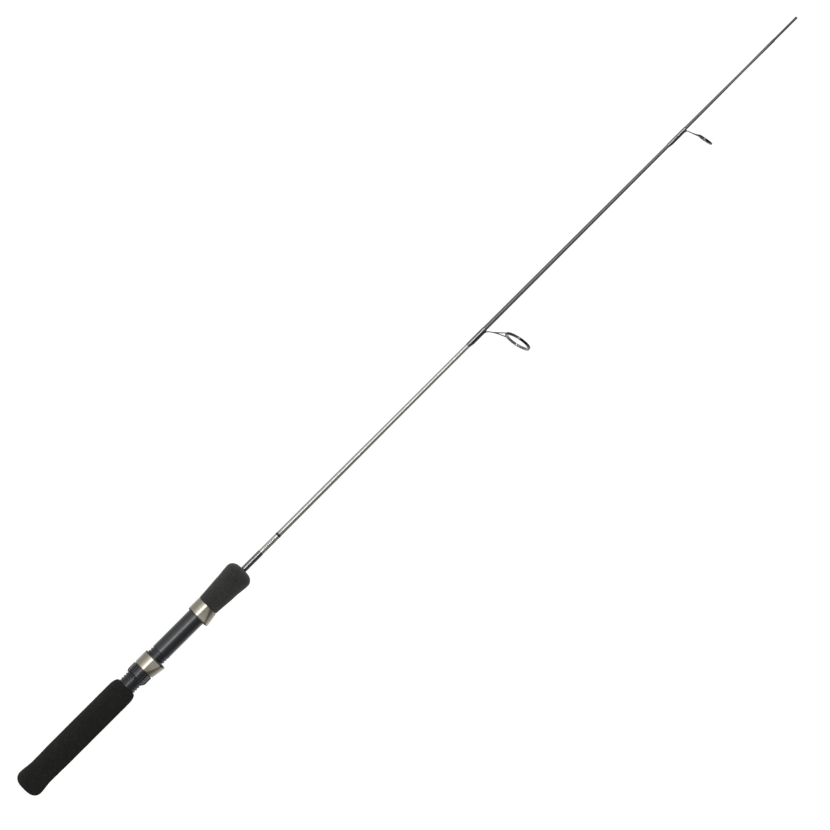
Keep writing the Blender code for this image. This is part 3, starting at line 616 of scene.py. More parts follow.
def skin(
    name: str, loops: Sequence[Loop], segments: int, closed: bool, place: Matrix | None = None
) -> bpy.types.Object:
    """A closed surface through loops of points round an axis.

    Args:
        name: the object's name.
        loops: the loops in order over the surface. Radii are given from +Y, turning to +Z.
        segments: how many points each loop has.
        closed: whether the last loop joins the first. Otherwise both are covered by a flat face.
        place: where the axis's frame lies, if it isn't the rod's own.

    Returns:
        The object, shaded smooth.
    """
    angles = np.arange(segments) * TAU / segments
    points = np.empty((len(loops), segments, 3))
    for row, loop in zip(points, loops):
        row[:, 0] = loop.x
        row[:, 1] = loop.radius * np.cos(angles)
        row[:, 2] = loop.radius * np.sin(angles)
    faces = []
    for row in range(len(loops) if closed else len(loops) - 1):
        here, there = row * segments, (row + 1) % len(loops) * segments
        for number in range(segments):
            after = (number + 1) % segments
            faces.append((here + number, here + after, there + after, there + number))
    if not closed:
        last = (len(loops) - 1) * segments
        faces += [tuple(range(segments)), tuple(range(last, last + segments))]
    mesh = bpy.data.meshes.new(name)
    mesh.from_pydata((points.reshape(-1, 3) * MM).tolist(), [], faces)
    worked = mesh.attributes.new(WORKED, "FLOAT", "POINT")
    worked.data.foreach_set("value", np.repeat([loop.worked for loop in loops], segments).astype(np.float32))
    if place is not None:
        mesh.transform(place)
    return finished(name, mesh)


def finished(name: str, mesh: bpy.types.Mesh, sharp: float = 40.0) -> bpy.types.Object:
    """Turns a mesh's faces outwards, shades it smooth and makes it an object.

    Args:
        name: the object's name.
        mesh: its mesh, in metres.
        sharp: the angle between faces, in degrees, past which an edge stays sharp.

    Returns:
        The object, in the scene.
    """
    shape = bmesh.new()
    shape.from_mesh(mesh)
    bmesh.ops.recalc_face_normals(shape, faces=shape.faces)
    shape.to_mesh(mesh)
    shape.free()
    mesh.shade_smooth()
    mesh.set_sharp_from_angle(angle=math.radians(sharp))
    obj = bpy.data.objects.new(name, mesh)
    bpy.context.scene.collection.objects.link(obj)
    return obj


def turned(
    name: str, outer: Sequence[Point], inner: Sequence[Point], segments: int, step: float = 0.0
) -> bpy.types.Object:
    """A turned piece.

    Args:
        name: the object's name.
        outer: the outside's (x, radius) points from butt to tip, where a relief works.
        inner: the rest of the outline, back to the first point. With none, the ends are flat.
        segments: how many sides it has.
        step: the longest distance between loops on the outside, if they are to be closer.

    Returns:
        The object.
    """
    outside = refined(outer, step) if step else list(outer)
    loops = [Loop(x, radius, 1.0) for x, radius in outside]
    loops[0].worked = loops[-1].worked = 0.0
    loops += [Loop(x, radius) for x, radius in inner]
    return skin(name, loops, segments, closed=bool(inner))


def deliver(obj: bpy.types.Object, body: Body, finish: Finish, *nodes: str) -> bpy.types.Object:
    """Dresses a finished piece and gives it to the frame.

    Args:
        obj: the piece.
        body: the body that it rides on.
        finish: its finish.
        nodes: the CAD nodes that it stands for.

    Returns:
        The piece.
    """
    obj.data.materials.clear()
    obj.data.materials.append(finish.material())
    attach(obj, body.value)
    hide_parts(*nodes)
    LOG.info("%s: %d faces in %s, on %s", obj.name, len(obj.data.polygons), finish.name, body.value)
    return obj


# ---------------------------------------------------------------- geometry node trees


class ShapeTree:
    """A geometry node tree that shapes a piece and gives it its material.

    It has an input for the geometry, one for each size in metres or as a count, and one for the material.
    """

    def __init__(self, name: str, sizes: Sequence[str]) -> None:
        """Makes the tree's inputs and outputs.

        Args:
            name: the tree's name.
            sizes: the names of its sizes.
        """
        self.tree = bpy.data.node_groups.new(name, "GeometryNodeTree")
        sockets = self.tree.interface
        sockets.new_socket("Shape", in_out="INPUT", socket_type="NodeSocketGeometry")
        for size in sizes:
            sockets.new_socket(size, in_out="INPUT", socket_type="NodeSocketFloat")
        sockets.new_socket("Surface", in_out="INPUT", socket_type="NodeSocketMaterial")
        sockets.new_socket("Shape", in_out="OUTPUT", socket_type="NodeSocketGeometry")
        self.start = add_node(self.tree, "NodeGroupInput")
        self.known = {size: self.start.outputs[size] for size in sizes}

    def read_place(self) -> None:
        """Makes the point's place, its radius from the rod's axis and its worked attribute known."""
        place = add_node(self.tree, "GeometryNodeInputPosition").outputs[0]
        axes = add_node(self.tree, "ShaderNodeSeparateXYZ", {"Vector": place}).outputs
        worked = add_node(self.tree, "GeometryNodeInputNamedAttribute", {"Name": WORKED}, data_type="FLOAT")
        self.known |= {"x": axes["X"], "y": axes["Y"], "z": axes["Z"], "worked": worked.outputs[0]}
        steps = [
            ("yy", "MULTIPLY", "y", "y"),
            ("rr", "MULTIPLY_ADD", "z", "z", "yy"),
            ("radius", "SQRT", "rr"),
        ]
        add_formula(self.tree, self.known, steps)

    def cut(self) -> bpy.types.NodeSocket:
        """Moves each point towards the rod's axis by the value known as cut, where the surface is worked.

        Returns:
            The moved geometry.
        """
        steps = [
            ("kept", "MULTIPLY", "cut", "worked"),
            ("share", "DIVIDE", "kept", "radius"),
            ("inward", "MULTIPLY", "share", -1.0),
            ("move_y", "MULTIPLY", "y", "inward"),
            ("move_z", "MULTIPLY", "z", "inward"),
        ]
        known = add_formula(self.tree, self.known, steps)
        sides = {"Y": known["move_y"], "Z": known["move_z"]}
        move = add_node(self.tree, "ShaderNodeCombineXYZ", sides).outputs[0]
        inputs = {"Geometry": self.start.outputs["Shape"], "Offset": move}
        return add_node(self.tree, "GeometryNodeSetPosition", inputs).outputs[0]

    def close(self, shape: bpy.types.NodeSocket) -> None:
        """Ends the tree: real geometry, with its material."""
        real = add_node(self.tree, "GeometryNodeRealizeInstances", {"Geometry": shape}).outputs[0]
        inputs = {"Geometry": real, "Material": self.start.outputs["Surface"]}
        dressed = add_node(self.tree, "GeometryNodeSetMaterial", inputs).outputs[0]
        add_node(self.tree, "NodeGroupOutput", {"Shape": dressed})

    def shape(self, obj: bpy.types.Object, finish: Finish, sizes: Mapping[str, float]) -> bpy.types.Object:
        """Shapes an object with the tree and leaves it a plain mesh.

        Args:
            obj: the object, which is changed, or replaced if it is a curve.
            finish: the finish that the tree gives it.
            sizes: the value of each size.

        Returns:
            The shaped object.
        """
        modifier = obj.modifiers.new(self.tree.name, "NODES")
        modifier.node_group = self.tree
        values = {**sizes, "Surface": finish.material()}
        for socket in self.tree.interface.items_tree:
            if socket.in_out == "INPUT" and socket.name in values:
                modifier[socket.identifier] = values[socket.name]
        bpy.context.view_layer.update()
        graph = bpy.context.evaluated_depsgraph_get()
        mesh = bpy.data.meshes.new_from_object(obj.evaluated_get(graph))
        name = obj.name
        bpy.data.objects.remove(obj)
        return finished(name, mesh)


class HelicalTree(ShapeTree):
    """Cuts a screw thread, or the hollows between the turns of a winding, into a round piece."""

    def __init__(self, relief: Relief) -> None:
        """Builds the tree.

        Args:
            relief: the shape of the cut across a pitch.
        """
        sizes = ("Pitch", "Depth", "First", "Lip", "Flank", "End", "Runout")
        super().__init__(f"{relief.value}_relief", sizes)
        self.read_place()
        steps = [
            ("down", "MULTIPLY", "z", -1.0),
            ("angle", "ARCTAN2", "y", "down"),
            ("turn", "DIVIDE", "angle", TAU),
            ("along", "SUBTRACT", "x", "First"),
            ("pitches", "DIVIDE", "along", "Pitch"),
            ("phase", "SUBTRACT", "pitches", "turn"),
            ("share", "FRACT", "phase"),
            ("centred", "SUBTRACT", "share", 0.5),
            ("off_crest", "ABSOLUTE", "centred"),
        ]
        if relief is Relief.SCREW:
            steps += [("past_lip", "SUBTRACT", "off_crest", "Lip"), ("slope", "DIVIDE", "past_lip", "Flank")]
            steps += [("above", "MAXIMUM", "slope", 0.0), ("profile", "MINIMUM", "above", 1.0)]
        else:
            steps += [("wide", "MULTIPLY", "off_crest", 2.0), ("square", "MULTIPLY", "wide", "wide")]
            steps += [("rest", "SUBTRACT", 1.0, "square"), ("top", "MAXIMUM", "rest", 0.0)]
            steps += [("rise", "SQRT", "top"), ("profile", "SUBTRACT", 1.0, "rise")]
        steps += [
            ("before_end", "SUBTRACT", "End", "x"),
            ("fading", "DIVIDE", "before_end", "Runout"),
            ("not_past", "MAXIMUM", "fading", 0.0),
            ("reach", "MINIMUM", "not_past", 1.0),
            ("deep", "MULTIPLY", "profile", "Depth"),
            ("cut", "MULTIPLY", "deep", "reach"),
        ]
        add_formula(self.tree, self.known, steps)
        self.close(self.cut())


class KnurlTree(ShapeTree):
    """Cuts blunt ribs along a round piece."""

    def __init__(self) -> None:
        """Builds the tree."""
        super().__init__("knurl_relief", ("Ribs", "Depth", "Crest", "Flank"))
        self.read_place()
        steps = [
            ("angle", "ARCTAN2", "z", "y"),
            ("turn", "DIVIDE", "angle", TAU),
            ("rib", "MULTIPLY", "turn", "Ribs"),
            ("share", "FRACT", "rib"),
            ("centred", "SUBTRACT", "share", 0.5),
            ("off_crest", "ABSOLUTE", "centred"),
            ("past", "SUBTRACT", "off_crest", "Crest"),
            ("slope", "DIVIDE", "past", "Flank"),
            ("above", "MAXIMUM", "slope", 0.0),
            ("level", "MINIMUM", "above", 1.0),
            ("square", "MULTIPLY", "level", "level"),
            ("rest", "MULTIPLY_ADD", "level", -2.0, 3.0),
            ("profile", "MULTIPLY", "square", "rest"),
            ("cut", "MULTIPLY", "profile", "Depth"),
        ]
        add_formula(self.tree, self.known, steps)
        self.close(self.cut())


class FoamTree(ShapeTree):
    """Gives ground foam its slightly uneven surface."""

    SEED = 11.0

    def __init__(self) -> None:
        """Builds the tree."""
        super().__init__("ground_foam", ("Cell", "Depth", "Swell Size", "Swell"))
        self.read_place()
        place = add_node(self.tree, "GeometryNodeInputPosition").outputs[0]
        for name, size in (("fine", "Cell"), ("broad", "Swell Size")):
            scale = add_formula(self.tree, self.known, [(name, "DIVIDE", 1.0, size)])[name]
            sizes = {"Vector": place, "W": self.SEED, "Scale": scale, "Detail": 1.0}
            noise = add_node(self.tree, "ShaderNodeTexNoise", sizes, noise_dimensions="4D")
            self.known[name] = noise.outputs[0]
        steps = [("pits", "MULTIPLY", "fine", "Depth"), ("cut", "MULTIPLY_ADD", "broad", "Swell", "pits")]
        add_formula(self.tree, self.known, steps)
        self.close(self.cut())


class WireTree(ShapeTree):
    """Makes a round wire with closed ends along a curve."""

    def __init__(self) -> None:
        """Builds the tree."""
        super().__init__("round_wire", ("Radius", "Spacing"))
        inputs = {"Curve": self.start.outputs["Shape"], "Length": self.known["Spacing"]}
        even = add_node(self.tree, "GeometryNodeResampleCurve", inputs, mode="LENGTH").outputs[0]
        circle = add_node(
            self.tree, "GeometryNodeCurvePrimitiveCircle", {"Resolution": 20, "Radius": self.known["Radius"]}
        ).outputs[0]
        inputs = {"Curve": even, "Profile Curve": circle, "Fill Caps": True}
        self.close(add_node(self.tree, "GeometryNodeCurveToMesh", inputs).outputs[0])


@dataclass
class Workshop:
    """The geometry node trees that the sub-assemblies share."""

    screw: HelicalTree = field(default_factory=lambda: HelicalTree(Relief.SCREW))
    wound: HelicalTree = field(default_factory=lambda: HelicalTree(Relief.WOUND))
    knurl: KnurlTree = field(default_factory=KnurlTree)
    foam: FoamTree = field(default_factory=FoamTree)
    wire: WireTree = field(default_factory=WireTree)

    def wind(self, obj: bpy.types.Object, finish: Finish, pitch: float) -> bpy.types.Object:
        """Cuts the hollows between the turns of a winding, in millimetres of pitch."""
        sizes = {"Pitch": pitch * MM, "Depth": 0.4 * pitch * MM, "First": 0.0, "End": 2.0, "Runout": 0.1}
        return self.wound.shape(obj, finish, sizes)


# ---------------------------------------------------------------- blank


@dataclass
class Blank:
    """The tapered blank, the spigot in its end, and what is painted or wound on its butt."""

    segments: int = 48
    bore_share: float = 0.62
    end_round: Point = (0.3, 0.15)
    gap: float = 0.02
    thread_pitch: float = 0.28
    thread_thickness: float = 0.16
    steps_per_turn: int = 6
    winding_sides: int = 40
    epoxy_over_thread: float = 0.14
    resin_lip: float = 0.08
    resin_shoulder: float = 0.7
    lacquer: float = 0.14
    lacquer_lip: float = 0.05
    lacquer_fade: Point = (0.15, 1.2)
    sleeve_inset: float = 0.1
    sleeve_fit: float = 0.01
    trim_bulge: float = 0.1
    stations: np.ndarray = field(default_factory=lambda: Blank.measured())

    @staticmethod
    def measured() -> np.ndarray:
        """The blank's outer radius at each of its stations, in millimetres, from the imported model."""
        points = np.array([v.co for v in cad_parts["blank"].data.vertices]) / MM
        radii = np.hypot(points[:, 1], points[:, 2])
        places = np.round(points[:, 0], 2)
        return np.array([(x, radii[places == x].max()) for x in np.unique(places)])

    def radius(self, x: float) -> float:
        """The blank's radius at a place along the rod."""
        return float(np.interp(x, self.stations[:, 0], self.stations[:, 1]))

    def between(self, start: float, end: float, lift: float, step: float = 12.0) -> list[Point]:
        """The blank's outside between two places, raised by a lift."""
        places = np.linspace(start, end, max(2, math.ceil((end - start) / step)))
        return [(float(x), self.radius(x) + lift) for x in places]

    def build(self, shop: Workshop) -> None:
        """Makes the blank, its spigot and its coats.

        Args:
            shop: the trees that cut the windings.
        """
        start, end = span("blank")
        bore, (length, depth) = self.bore_share * self.radius(end), self.end_round
        body = self.between(start, end - length, 0.0) + [(end, self.radius(end) - depth)]
        tube = turned("blank_tube", body, [(end, bore), (start, bore)], self.segments)
        deliver(tube, Body.ROD, BLANK_GRAPHITE, "blank")
        self.build_spigot()
        self.build_silver()
        self.build_handle_wrap(shop)
        self.build_label()
        self.build_trim(shop)

    def inside(self, start: float, end: float, low: float) -> list[Point]:
        """The inside of a sleeve on the blank, a little in from its front and as much from its rear."""
        return [(end - self.sleeve_inset, low), (start + self.sleeve_inset, low)]

    def build_spigot(self) -> None:
        """Makes the bare plug that the tip section slides over."""
        (start, end), radius = span("spigot"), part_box("spigot")[1].z / MM
        corners = [(start, radius, 0.0), (end, radius, 0.6), (end, 0.3, 0.0)]
        plug = turned("spigot_plug", rounded(corners), [], self.segments, 2.0)
        deliver(plug, Body.ROD, SPIGOT_GRAPHITE, "spigot")

    def build_silver(self) -> None:
        """Makes the silver lacquer that runs from the trim ring to the first guide."""
        start, end = span("silver_coat")
        rear_fade, front_fade = self.lacquer_fade
        outer = [(start, self.radius(start) + self.lacquer_lip)]
        outer += self.between(start + rear_fade, end - front_fade, self.lacquer)
        outer += [(end, self.radius(end) + self.lacquer_lip)]
        inner = list(reversed(self.between(start, end, self.gap)))
        coat = turned("silver_coat_lacquer", outer, inner, self.segments)
        deliver(coat, Body.ROD, SILVER_LACQUER, "silver_coat")

    def build_handle_wrap(self, shop: Workshop) -> None:
        """Makes the winding in front of the fore grip, and the clear resin over it.

        Args:
            shop: the tree that cuts the winding's turns.
        """
        start, end = span("handle_thread_wrap")
        low = self.radius(start) + self.gap
        top = low + self.thread_thickness
        outer, inner = [(start, top), (end, top)], [(end, low), (start, low)]
        step = self.thread_pitch / self.steps_per_turn
        winding = turned("handle_wrap_winding", outer, inner, self.winding_sides, step)
        winding = shop.wind(winding, THREAD_NYLON, self.thread_pitch)
        deliver(winding, Body.ROD, THREAD_NYLON, "handle_thread_wrap")
        first, last = span("handle_epoxy")
        skin_radius = top + self.gap + self.epoxy_over_thread
        corners = [
            (first, low, 0.0),
            (first, low + self.resin_lip, 0.0),
            (first + self.resin_shoulder, skin_radius, 0.6),
            (last - self.resin_shoulder, skin_radius, 0.6),
            (last, low + self.resin_lip, 0.0),
            (last, low, 0.0),
        ]
        inner = self.inside(first, last, low)
        resin = turned("handle_wrap_resin", rounded(corners, 6), inner, self.segments, 1.0)
        finish = coated_thread("handle", start, end, first, last, self.thread_pitch)
        deliver(resin, Body.ROD, finish, "handle_epoxy")

    def build_label(self) -> None:
        """Makes the printed foil band."""
        start, end = span("label_band")
        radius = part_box("label_band")[1].z / MM
        low = self.radius(start) + self.gap
        corners = [(start, low, 0.0), (start, radius, 0.1), (end, radius, 0.1), (end, low, 0.0)]
        inner = self.inside(start, end, low - self.sleeve_fit)
        band = turned("label_foil_band", rounded(corners, 3), inner, self.segments, 1.0)
        foil = PrintedFoil(
            "silver_foil_printed",
            "label",
            "AEAFA9",
            0.3,
            metallic=0.8,
            coat=0.8,
            coat_roughness=0.04,
            grains=SILVER_GRAINS[1:],
            band=(start, end),
        )
        deliver(band, Body.ROD, foil, "label_band")

    def build_trim(self, shop: Workshop) -> None:
        """Makes the trim winding that ends the foil band.

        Args:
            shop: the tree that cuts the winding's turns.
        """
        start, end = span("trim_ring")
        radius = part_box("trim_ring")[1].z / MM
        low = self.radius(start) + self.gap
        corners = [
            (start, low, 0.0),
            (start, radius - self.trim_bulge, 0.0),
            ((start + end) / 2, radius, 0.8),
            (end, radius - self.trim_bulge, 0.0),
            (end, low, 0.0),
        ]
        inner = self.inside(start, end, low - self.sleeve_fit)
        ring = turned("trim_ring_winding", rounded(corners, 6), inner, self.segments, 0.05)
        ring = shop.wind(ring, TRIM_THREAD, self.thread_pitch)
        deliver(ring, Body.ROD, TRIM_THREAD, "trim_ring")


def coated_thread(
    name: str, start: float, end: float, first: float, last: float, pitch: float
) -> BandedFinish:
    """Clear epoxy over black thread.

    The turns of thread show through a glass-smooth coat, with painted shade darkening the hollows between
    them, and the blank shows through it past the thread's two ends.

    Args:
        name: which winding it is.
        start: where the thread starts, in millimetres.
        end: where the thread ends.
        first: where the resin starts.
        last: where the resin ends.
        pitch: the thread's spacing.

    Returns:
        The finish.
    """
    return BandedFinish(
        f"epoxy_over_thread_{name}",
        "epoxy",
        "161617",
        0.22,
        ior=1.53,
        coat=1.0,
        coat_roughness=0.08,
        coat_ior=1.85,
        specular=0.8,
        # The wound grain darkens the hollows between the turns with painted shade; the 4 mm grain is uneven
        # tone.
        grains=(Grain(pitch, Texture.WOUND, depth=0.01, shade=0.3), Grain(4.0, shade=0.15)),
        other="3A3A39",
        bands=((first - 1.0, start), (end, last + 1.0)),
        edge=0.15,
    )


# ---------------------------------------------------------------- grips


@dataclass
class RearGrip:
    """The rear grip: one turned piece of foam with a knob at the butt."""

    segments: int = 128
    flat_radius: float = 5.1
    knob_x: float = 8.3
    knob_radius: float = 14.1
    neck_x: float = 23.4
    neck_radius: float = 12.8
    full_x: float = 49.5
    radius: float = 13.15
    shoulder: float = 9.5
    front_radius: float = 9.7
    bore: float = 3.05

    def build(self, shop: Workshop) -> None:
        """Makes the grip.

        Args:
            shop: the tree that roughens the foam.
        """
        (start, end), knob = span("rear_grip"), (self.knob_x, self.knob_radius)
        neck, full = (self.neck_x, self.neck_radius), (self.full_x, self.radius)
        outer = [(start, 1.0), (start, self.flat_radius)]
        curve = (self.knob_x, self.knob_radius - self.flat_radius)
        outer += quarter((self.knob_x, self.flat_radius), curve, math.pi, 16)[1:]
        outer += eased(knob, neck, 12) + eased(neck, full, 12) + [(end - self.shoulder, self.radius)]
        front = (self.shoulder, self.radius - self.front_radius)
        outer += quarter((end - self.shoulder, self.front_radius), front, math.pi / 2, 14)[1:]
        outer += [(end, self.bore + 0.5)]
        blind = span("blank")[0] - 0.3
        inner = [(end - 0.5, self.bore), (blind, self.bore), (blind, 1.0)]
        loops = [Loop(x, radius, 1.0) for x, radius in refined(outer, 0.7)]
        loops[0].worked = loops[-1].worked = 0.0
        loops += [Loop(x, radius) for x, radius in inner]
        grip = skin("rear_grip_foam", loops, self.segments, closed=False)
        grip = shop.foam.shape(grip, REAR_FOAM, FOAM_SIZES)
        deliver(grip, Body.ROD, REAR_FOAM, "rear_grip")


@dataclass
class ForeGrip:
    """The fore grip: foam that swells from the reel seat to a rounded nose."""

    segments: int = 128
    sides: tuple[Point, ...] = (
        (0.8, 11.0),
        (10.5, 11.65),
        (21.7, 12.55),
        (25.4, 12.6),
        (29.2, 13.0),
        (36.6, 13.85),
    )
    rear_radius: float = 10.4
    nose: float = 7.5
    nose_flat: float = 4.9

    def build(self, shop: Workshop, blank: Blank) -> None:
        """Makes the grip.

        Args:
            shop: the tree that roughens the foam.
            blank: the blank that it is glued to.
        """
        start, end = span("fore_grip")
        bore = blank.radius(start) + 0.05
        places = [start + x for x, _ in self.sides] + [end - self.nose]
        radii = [radius for _, radius in self.sides] + [self.sides[-1][1]]
        fine = np.linspace(places[0], places[-1], 60)
        padded = np.pad(np.interp(fine, places, radii), 4, mode="edge")
        smooth = np.convolve(padded, np.ones(9) / 9, mode="valid")
        outer = [(start, bore + 0.6), (start, self.rear_radius), (start + 0.25, self.rear_radius + 0.4)]
        outer += list(zip(fine.tolist(), smooth.tolist()))
        curve = (self.nose, self.sides[-1][1] - self.nose_flat)
        outer += quarter((end - self.nose, self.nose_flat), curve, math.pi / 2, 16)[1:]
        outer += [(end, bore + 0.6)]
        grip = turned("fore_grip_foam", outer, [(end - 0.6, bore), (start + 0.6, bore)], self.segments, 0.7)
        grip = shop.foam.shape(grip, FORE_FOAM, FOAM_SIZES)
        deliver(grip, Body.ROD, FORE_FOAM, "fore_grip")


FOAM_SIZES = {"Cell": 0.9 * MM, "Depth": 0.14 * MM, "Swell Size": 7.0 * MM, "Swell": 0.2 * MM}


# ---------------------------------------------------------------- reel seat


@dataclass
class Barrel:
    """The seat's moulded barrel: a thread at its rear, a keyway under it and a flat for the reel's foot."""

    segments: int = 120
    bore: float = 6.0
    end_wall: float = 1.5
    edge: float = 0.4
    fine_step: float = 0.14
    plain_step: float = 0.9
    pitch: float = 3.0
    thread_depth: float = 0.7
    root_share: float = 0.3
    mouth_share: float = 0.7
    turns: int = 16
    thread_before: float = 2.5
    thread_past: float = 2.0
    runout_past: float = 0.3
    runout_share: float = 0.5
    keyway_half: float = 1.5
    keyway_floor: float = 8.1
    keyway_end: float = 189.0
    flat_height: float = 8.7
    flat: Point = (183.0, 224.2)
    flat_fade: float = 1.2
    least_facing: float = 0.2

    def build(self, shop: Workshop) -> None:
        """Makes the barrel, and dresses the paper arbors inside it.

        Args:
            shop: the tree that cuts the thread.
        """
        start, end = span("seat_barrel")
        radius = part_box("seat_barrel")[1].z / MM
        thread_end = start - self.thread_before + self.turns * self.pitch
        low, change = radius - self.end_wall, (thread_end + self.thread_past, radius)
        corners = [(start, low, 0.0), (start, radius, self.edge), (end, radius, self.edge), (end, low, 0.0)]
        outline = rounded(corners, 3)
        outer = refined([p for p in outline if p[0] <= change[0]] + [change], self.fine_step)
        outer += refined([change] + [p for p in outline if p[0] > change[0]], self.plain_step)[1:]
        loops = [Loop(x, self.section(x, r, start, thread_end), 1.0) for x, r in outer]
        loops[0].worked = loops[-1].worked = 0.0
        loops += [Loop(end, self.bore), Loop(start, self.bore)]
        barrel = skin("seat_barrel_moulding", loops, self.segments, closed=True)
        flank = (self.mouth_share - self.root_share) / 2
        sizes = {
            "Pitch": self.pitch * MM,
            "Depth": self.thread_depth * MM,
            "First": (start - self.thread_before) * MM,
            "Lip": 0.5 - self.mouth_share / 2,
            "Flank": flank,
            "End": (thread_end + self.runout_past) * MM,
            "Runout": self.runout_share * self.pitch * MM,
        }
        deliver(shop.screw.shape(barrel, SEAT_NYLON, sizes), Body.ROD, SEAT_NYLON, "seat_barrel")
        for name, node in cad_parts.items():
            if name.startswith("seat_arbor"):
                node.data.materials.clear()
                node.data.materials.append(ARBOR_PAPER.material())

    def section(self, x: float, radius: float, start: float, thread_end: float) -> np.ndarray:
        """The barrel's radius at each angle, with the keyway and the foot's flat cut into it.

        Args:
            x: the place along the rod.
            radius: the plain radius there.
            start: where the barrel starts. Not used.
            thread_end: where its thread ends. Not used.

        Returns:
            The radii, from +Y round to +Z.
        """
        angles = np.arange(self.segments) * TAU / self.segments
        across, towards_foot, towards_key = np.cos(angles), -np.cos(angles), -np.sin(angles)
        radii = np.full(self.segments, radius)
        share = np.clip(min(x - self.flat[0], self.flat[1] - x) / self.flat_fade + 1, 0, 1)
        facing = np.maximum(towards_foot, self.least_facing)
        level = np.minimum(self.flat_height / facing, radius)
        radii = np.where(towards_foot > self.least_facing, radius + (level - radius) * share, radii)
        if x <= self.keyway_end:
            inside = (towards_key > 0) & (np.abs(across) * radius < self.keyway_half)
            floor = self.keyway_floor / np.maximum(towards_key, self.least_facing)
            radii = np.where(inside, np.minimum(radii, floor), radii)
        return radii


@dataclass
class LockNut:
    """The moulded nut that pushes the sliding hood.

    It has blunt ribs, a chamfer behind, and a neck that snaps into the hood.
    """

    segments: int = 288
    radius: float = 10.95
    bore: float = 9.3
    length: float = 10.7
    chamfer_length: float = 2.3
    chamfer_depth: float = 1.2
    neck_radius: float = 9.95
    ribs: int = 24
    rib_depth: float = 0.85

    def build(self, shop: Workshop) -> None:
        """Makes the nut.

        Args:
            shop: the tree that cuts the ribs.
        """
        start, end = span("lock_nut")
        shoulder = start + self.length
        corners = [
            (start, self.bore + 0.2, 0.0),
            (start, self.radius - self.chamfer_depth, 0.3),
            (start + self.chamfer_length, self.radius, 0.7),
            (shoulder, self.radius, 0.35),
            (shoulder, self.neck_radius + 0.3, 0.0),
        ]
        ribbed = refined(rounded(corners, 4), 0.35)
        loops = [Loop(x, radius, 1.0) for x, radius in ribbed]
        full = self.radius - self.bore - self.rib_depth - 0.1
        for loop in loops:
            loop.worked = float(np.clip((loop.radius - self.bore - 0.3) / full, 0, 1))
        neck = [(shoulder, self.neck_radius, 0.0), (end, self.neck_radius, 0.2), (end, self.bore, 0.0)]
        rear = (start, self.bore)
        loops += [Loop(x, radius) for x, radius in [*rounded(neck, 3), rear]]
        nut = skin("lock_nut_moulding", loops, self.segments, closed=True)
        sizes = {"Ribs": float(self.ribs), "Depth": self.rib_depth * MM, "Crest": 0.2, "Flank": 0.14}
        deliver(shop.knurl.shape(nut, NUT_NYLON, sizes), Body.NUT, NUT_NYLON, "lock_nut")


